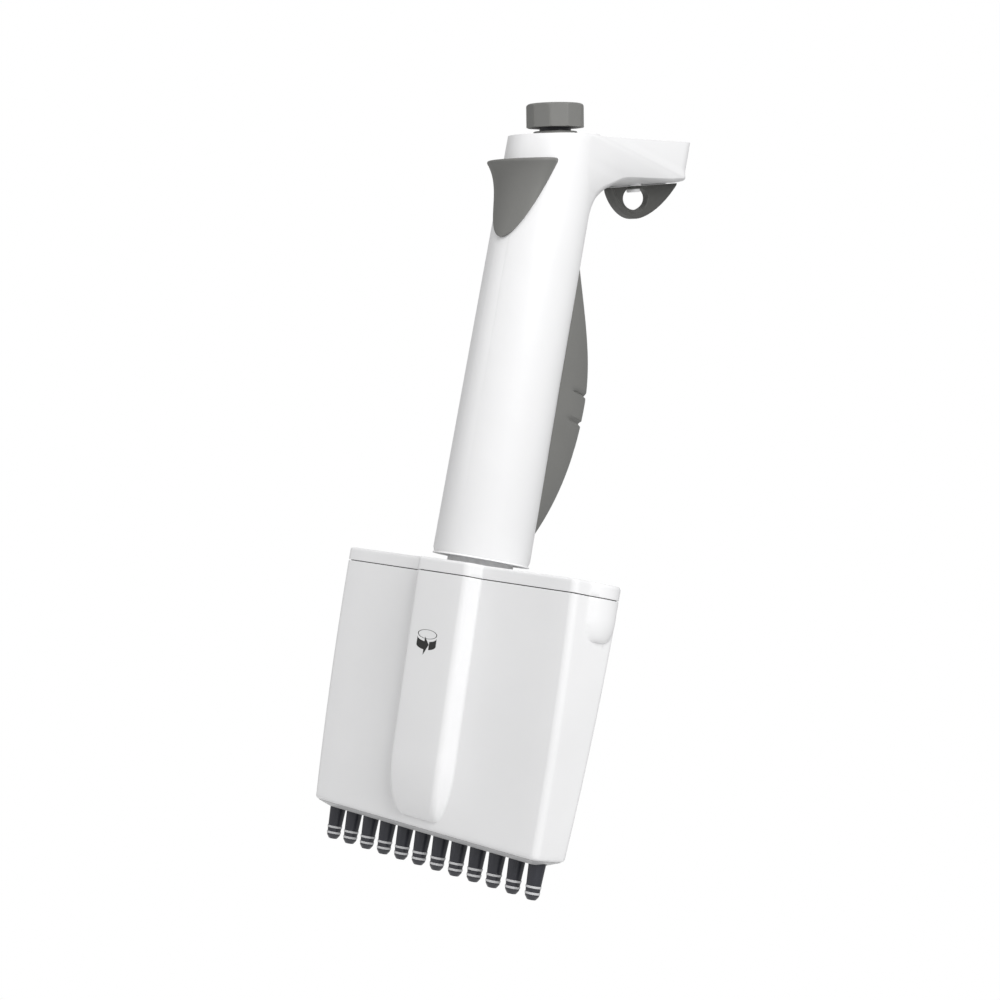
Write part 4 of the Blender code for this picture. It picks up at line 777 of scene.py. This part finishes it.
SHIELD_TIP, SHIELD_TOP, LIP = 200.4, 231.6, 1.9
SHIELD_HALF = math.radians(56.0)
SHIELD_GAP, SHIELD_SKIN, SHIELD_REACH, SHIELD_EDGE = 0.3, 1.0, 22.3, 0.35
SHIELD_LEAST, SHIELD_FLARE, SIDE_POWER, LIP_POWER = 0.002, 3.6, 10, 6
SIDE_DRAW, SIDE_R = 0.9, 22.0
SHIELD_LINK = ((-2.2, 2.2), (-17.0, -13.8), (214.0, 219.0))


def shield_ring(z, drawn=0.0, columns=64):
    """Section of the shield, level at its tip and leaning with the head's top plane at its lip."""
    share = clamp((z - SHIELD_TIP) / (SHIELD_TOP - SHIELD_TIP))
    half = SHIELD_HALF * math.sqrt(max(share, SHIELD_LEAST)) - SIDE_DRAW * drawn / SIDE_R
    inner = handle_radius(z) + SHIELD_GAP
    skin = handle_radius(z) + SHIELD_SKIN
    outer = skin + (SHIELD_REACH - skin) * share**SHIELD_FLARE
    turns = []
    for i in range(columns + 1):
        side = math.sin(math.pi / 2 * (-1.0 + 2.0 * i / columns))
        radius = outer - (outer - inner - SHIELD_EDGE) * abs(side) ** SIDE_POWER
        radius -= drawn * (1.0 - 0.5 * abs(side) ** LIP_POWER)
        radius = max(inner + SHIELD_EDGE / 2, radius)
        turns.append((-math.pi / 2 + side * half, radius))
    for i in range(columns + 1):
        turns.append((-math.pi / 2 + (1.0 - 2.0 * i / columns) * half, inner))
    ring = []
    for a, radius in turns:
        y = radius * math.sin(a)
        ring.append((radius * math.cos(a), y, z + TAN * share**2 * y))
    return ring


def shield_piece():
    low = SHIELD_TOP - LIP
    rings = [shield_ring(z) for z in crowded(SHIELD_TIP, low - SHIELD_TIP, 60, 1.6)]
    for a in quarter(12)[1:]:
        rings.append(shield_ring(low + LIP * math.sin(a), LIP * (1.0 - math.cos(a))))
    shield = loft("thumb_shield", rings)
    boolean(shield, box("link", *SHIELD_LINK), "UNION")
    dress(shield, "ejector", ["ejector_button"], GREY, 40.0)


# Knob, shaft and collar: heights are above the head's top plane


KNOB_SIDES = 10
KNOB_TURN = math.radians(16.3)
KNOB_FLAT_R = 9.5
KNOB_LOW, KNOB_TOP, KNOB_EDGE, KNOB_LOW_EDGE = 2.7, 10.7, 1.4, 0.25
KNOB_RIB = 0.55
BORE_R, BORE_DEEP = 5.7, 3.9
SHAFT = ((5.4, 6.3), (5.4, 0.9), (5.1, 0.5), (5.1, -2.0), (3.0, -2.0), (3.0, -9.8))
COLLAR = ((7.15, 1.4), (7.4, 1.3), (7.5, 1.05), (7.5, -1.2), (5.7, -1.2), (5.7, 1.4))


def knob_pieces():
    corner = KNOB_FLAT_R / math.cos(math.pi / KNOB_SIDES)
    profile = []
    for a in quarter(8):
        radius = corner - KNOB_EDGE + KNOB_EDGE * math.sin(a)
        profile.append((radius, KNOB_TOP - KNOB_EDGE + KNOB_EDGE * math.cos(a)))
    profile += [(corner, KNOB_LOW + KNOB_LOW_EDGE), (corner - KNOB_LOW_EDGE, KNOB_LOW)]
    knob = turned("knob", profile, 160)
    turns = [a + KNOB_TURN for a in circle(KNOB_SIDES)]
    outline = [(corner * math.cos(a), corner * math.sin(a)) for a in turns]
    ten = prism("ten_sides", outline, (KNOB_LOW - OVER, KNOB_TOP + OVER))
    boolean(knob, bevel(ten, KNOB_RIB, 4, 20.0), "INTERSECT")
    boolean(knob, drum("bore", BORE_R, (KNOB_LOW - OVER, KNOB_LOW + BORE_DEEP), 64))
    moved(knob, HEAD_FRAME)
    dress(knob, "selector_knob", ["control_knob"], GREY, 28.0)
    shaft = moved(turned("shaft", SHAFT, 64), HEAD_FRAME)
    dress(shaft, "selector_shaft", ["knob_shaft"], DARK)
    collar = moved(turned("collar", COLLAR, 96), HEAD_FRAME)
    dress(collar, "handle", ["knob_collar"], GREY)


# Finger hook: v runs along the keel from the stud's axis and w is the distance below the keel


BACK_V, TIP_V = -13.5, 22.5
DEEP_V, DEEP_W = -0.5, 11.6
BACK_POWER, TIP_POWER = 0.7, 1.85
TOP_W, EDGE, RIM = 0.06, 0.6, 1.35
TOP_SHARE = 0.4
HALF_THICK, HALF_WEB, HALF_TIP = 1.9, 0.75, 1.3
EYE_V, EYE_W, EYE_MID, EYE_TOP = 6.2, 4.1, 4.35, 1.05
EYE_EDGE = 0.35
RIM_FADE = 1.5
WEB_END_V, WEB_FADE = -3.0, 7.0
TAPER_V, TAPER = -4.0, 12.0
BRIDGE_HALF, BRIDGE_LOW, BRIDGE_THIN = 3.4, 0.5, 0.25
BRIDGE_EDGE, BRIDGE_EDGE_THIN = 0.3, 0.35
SPOKE_W = 4.9
BELLY_STEPS, TOP_STEPS, SPOKE_STEPS = 110, 60, 34
STUD = ((1.8, 3.0), (1.8, 1.3), (3.0, 1.3), (3.0, 0.1), (2.9, 0.0), (1.0, 0.0), (1.0, -1.1))
STUD_FLANGE = ((2.25, -1.1), (2.4, -1.2), (2.4, -2.0), (2.2, -2.2))


def belly(v):
    """Distance of the hook's lower edge from the keel."""
    if v < DEEP_V:
        depth = max(0.0, 1.0 - ((DEEP_V - v) / (DEEP_V - BACK_V)) ** 2) ** BACK_POWER
    else:
        depth = 1.0 - ((v - DEEP_V) / (TIP_V - DEEP_V)) ** TIP_POWER
    return lerp(TOP_W + EDGE, DEEP_W, depth)


def top_edge():
    first, last = TIP_V - EDGE * TOP_SHARE, BACK_V + EDGE * TOP_SHARE
    return [(lerp(first, last, i / TOP_STEPS), TOP_W) for i in range(TOP_STEPS + 1)]


def eye_point(turn):
    """Where the spoke at this turn crosses the oval eye, whose top is cut level at the bridge."""
    c, s = math.cos(turn), math.sin(turn)
    drop = SPOKE_W - EYE_MID
    a = (c / EYE_V) ** 2 + (s / EYE_W) ** 2
    b = 2.0 * drop * s / EYE_W**2
    rest = (drop / EYE_W) ** 2 - 1.0
    reach = (-b + math.sqrt(b * b - 4.0 * a * rest)) / (2.0 * a)
    if s < 0.0:
        reach = min(reach, (SPOKE_W - EYE_TOP) / -s)
    return reach * c, SPOKE_W + reach * s


def rounded_off(gap, radius):
    """What an edge rounded by the radius loses of the half thickness at this gap from the edge."""
    return radius - math.sqrt(max(0.0, radius**2 - (radius - gap) ** 2))


def hook_half(v, w, belly_gap, eye_gap):
    """Half thickness: a rim at the back and below, a thin web behind the eye, full at the tip."""
    inside = smooth((belly_gap - RIM) / RIM_FADE)
    inside *= 1.0 - smooth((v - WEB_END_V) / WEB_FADE)
    full = lerp(HALF_THICK, HALF_TIP, smooth((v - TAPER_V) / TAPER))
    half = lerp(full, HALF_WEB, inside)
    for gap, radius in ((belly_gap, EDGE), (eye_gap, EYE_EDGE)):
        if gap < radius:
            half -= rounded_off(gap, radius)
    edge_gap = min(belly_gap, w - TOP_W)
    if w - TOP_W < EDGE:
        half = min(half, HALF_THICK - rounded_off(edge_gap, EDGE))
    if w < EYE_TOP + BRIDGE_LOW and abs(v) < BRIDGE_HALF:
        thin = BRIDGE_EDGE_THIN if edge_gap < BRIDGE_EDGE else 0.0
        half = max(half, HALF_THICK - BRIDGE_THIN - thin)
    return half


def hook_plate():
    """Rings of spokes between the eye and the outline, on both faces, joined at both edges."""
    lower = [(v, belly(v)) for v in eased(BACK_V, TIP_V, BELLY_STEPS)]
    outline = lower + top_edge()
    spokes = [(eye_point(math.atan2(w - SPOKE_W, v)), (v, w)) for v, w in outline]
    right = []
    for share in eased(0.0, 1.0, SPOKE_STEPS):
        for (v0, w0), (v1, w1) in spokes:
            v, w = lerp(v0, v1, share), lerp(w0, w1, share)
            belly_gap = min(math.hypot(v - p, w - q) for p, q in lower)
            half = hook_half(v, w, belly_gap, math.hypot(v - v0, w - w0))
            right.append((half, v, -w))
    points = right + [(-half, v, height) for half, v, height in right]
    count = len(spokes)
    other = len(right)
    faces = []
    for k in range(SPOKE_STEPS):
        for i in range(count):
            j = (i + 1) % count
            a, b, c, d = k * count + i, k * count + j, (k + 1) * count + j, (k + 1) * count + i
            faces.append((a, b, c, d))
            faces.append((other + d, other + c, other + b, other + a))
    for i in range(count):
        j = (i + 1) % count
        for low in (0, SPOKE_STEPS * count):
            faces.append((low + i, low + j, other + low + j, other + low + i))
    return mesh_piece("hook_plate", points, faces)


def hook_pieces():
    hook = moved(hook_plate(), HOOK_FRAME)
    dress(hook, "hook", ["finger_hook"], HOOK_GREY_WITH_PAINTED_SHADE, 50.0)
    stud = moved(turned("stud", STUD + STUD_FLANGE, 64), HOOK_FRAME)
    dress(stud, "handle", ["hook_stud"], WHITE)


# Return spring of the ejector, inside the handle


def spring_piece():
    """The part's own spring, on a mesh of its own, riding with the ejector."""
    spring = bpy.data.objects.new("return_spring", frame["nodes"]["ejector_spring"].data.copy())
    bpy.context.scene.collection.objects.link(spring)
    dress(spring, "ejector", ["ejector_spring"], STEEL, 60.0)
    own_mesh(spring)


manifold_pieces()
plate_piece()
mark_piece()
nozzle_pieces()
handle_piece()
pad_piece()
shield_piece()
knob_pieces()
hook_pieces()
spring_piece()


# Studio: lamps with their places and sizes in metres and their power in watts


LAMPS = (
    ("key", (0.95, -0.4, 0.73), (0.7, 0.9), 12.2),
    ("front", (-0.5, -1.0, 0.43), (0.9, 0.9), 2.5),
    ("top", (0.0, -0.3, 1.5), (0.8, 0.8), 3.0),
)
LAMP_TARGET = (0.0, 0.0, 0.13)
SOFT_LIGHT = 0.44
WHITE_LIGHT = (1.0, 1.0, 1.0, 1.0)

FLOOR_Z, FLOOR_R, FLOOR_SIDES = -350.0, 1200.0, 96
FLOOR_COLOUR = (0.75, 0.75, 0.75, 1.0)
FLOOR_LIFT = {"From Min": 0.2, "From Max": FLOOR_R * MM, "To Min": 0.42, "To Max": 0.7}


def area(name, place, sides, power):
    lamp = bpy.data.lights.new(name, "AREA")
    lamp.shape = "RECTANGLE"
    lamp.size, lamp.size_y = sides
    lamp.energy = power
    obj = bpy.data.objects.new(name, lamp)
    bpy.context.scene.collection.objects.link(obj)
    obj.location = place
    aim = Vector(LAMP_TARGET) - Vector(place)
    obj.rotation_euler = aim.to_track_quat("-Z", "Y").to_euler()


def studio():
    """Soft light from all round, a plain white background and three lamps."""
    world = bpy.data.worlds.new("studio")
    bpy.context.scene.world = world
    world.use_nodes = True
    tree = world.node_tree
    tree.nodes.clear()
    out = node(tree, "OutputWorld")
    mix = node(tree, "MixShader")
    soft = node(tree, "Background", {"Color": WHITE_LIGHT, "Strength": SOFT_LIGHT})
    seen = node(tree, "Background", {"Color": WHITE_LIGHT, "Strength": 1.0})
    tree.links.new(node(tree, "LightPath").outputs["Is Camera Ray"], mix.inputs["Fac"])
    tree.links.new(soft.outputs["Background"], mix.inputs[1])
    tree.links.new(seen.outputs["Background"], mix.inputs[2])
    tree.links.new(mix.outputs["Shader"], out.inputs["Surface"])
    for lamp in LAMPS:
        area(*lamp)


def combined(tree, operation, first, second):
    made = node(tree, "Math")
    made.operation = operation
    tree.links.new(first, made.inputs[0])
    tree.links.new(second, made.inputs[1])
    return made.outputs[0]


def floor():
    """Plain pale floor, lifted for the camera to the background's white, less its shadows."""
    turns = circle(FLOOR_SIDES)
    points = [(FLOOR_R * math.cos(a), FLOOR_R * math.sin(a), FLOOR_Z) for a in turns]
    made = mesh_piece("floor", points, [tuple(range(FLOOR_SIDES))])
    paint = bpy.data.materials.new("floor")
    paint.use_nodes = True
    tree = paint.node_tree
    tree.nodes.clear()
    out = node(tree, "OutputMaterial")
    matt = node(tree, "BsdfDiffuse", {"Color": FLOOR_COLOUR})
    glow = node(tree, "Emission")
    both = node(tree, "AddShader")
    path = node(tree, "LightPath").outputs
    length = node(tree, "VectorMath")
    length.operation = "LENGTH"
    tree.links.new(node(tree, "TexCoord").outputs["Object"], length.inputs[0])
    lift = node(tree, "MapRange", FLOOR_LIFT)
    tree.links.new(length.outputs["Value"], lift.inputs["Value"])
    seen = combined(tree, "MAXIMUM", path["Is Camera Ray"], path["Is Glossy Ray"])
    seen = combined(tree, "MAXIMUM", seen, path["Is Transmission Ray"])
    strength = combined(tree, "MULTIPLY", seen, lift.outputs["Result"])
    tree.links.new(strength, glow.inputs["Strength"])
    tree.links.new(matt.outputs["BSDF"], both.inputs[0])
    tree.links.new(glow.outputs["Emission"], both.inputs[1])
    tree.links.new(both.outputs["Shader"], out.inputs["Surface"])
    made.data.materials.append(paint)


# Camera: fitted to the photograph, with its place in metres and its focal length in pixels


YAW, PITCH_UP, ROLL = 0.80285193, 0.06578532, 0.17373193
CAMERA_PLACE = (0.48385382, -0.46321426, 0.07001642)
FOCAL_PIXELS, PICTURE_PIXELS, SENSOR = 1989.6356, 1000.0, 36.0


def camera():
    flat = Vector((math.cos(YAW), math.sin(YAW), 0.0))
    ahead = Vector((-math.sin(YAW), math.cos(YAW), 0.0))
    up = Vector((0.0, 0.0, 1.0))
    forward = ahead * math.cos(PITCH_UP) + up * math.sin(PITCH_UP)
    upright = up * math.cos(PITCH_UP) - ahead * math.sin(PITCH_UP)
    right = flat * math.cos(ROLL) + upright * math.sin(ROLL)
    top = upright * math.cos(ROLL) - flat * math.sin(ROLL)
    data = bpy.data.cameras.new("camera")
    data.sensor_width = SENSOR
    data.lens = FOCAL_PIXELS * SENSOR / PICTURE_PIXELS
    data.clip_start, data.clip_end = 0.05, 20.0
    obj = bpy.data.objects.new("camera", data)
    bpy.context.scene.collection.objects.link(obj)
    basis = Matrix((right, top, -forward)).transposed().to_4x4()
    obj.matrix_world = Matrix.Translation(CAMERA_PLACE) @ basis
    bpy.context.scene.camera = obj


studio()
floor()
camera()
bpy.context.scene.view_settings.view_transform = "Standard"
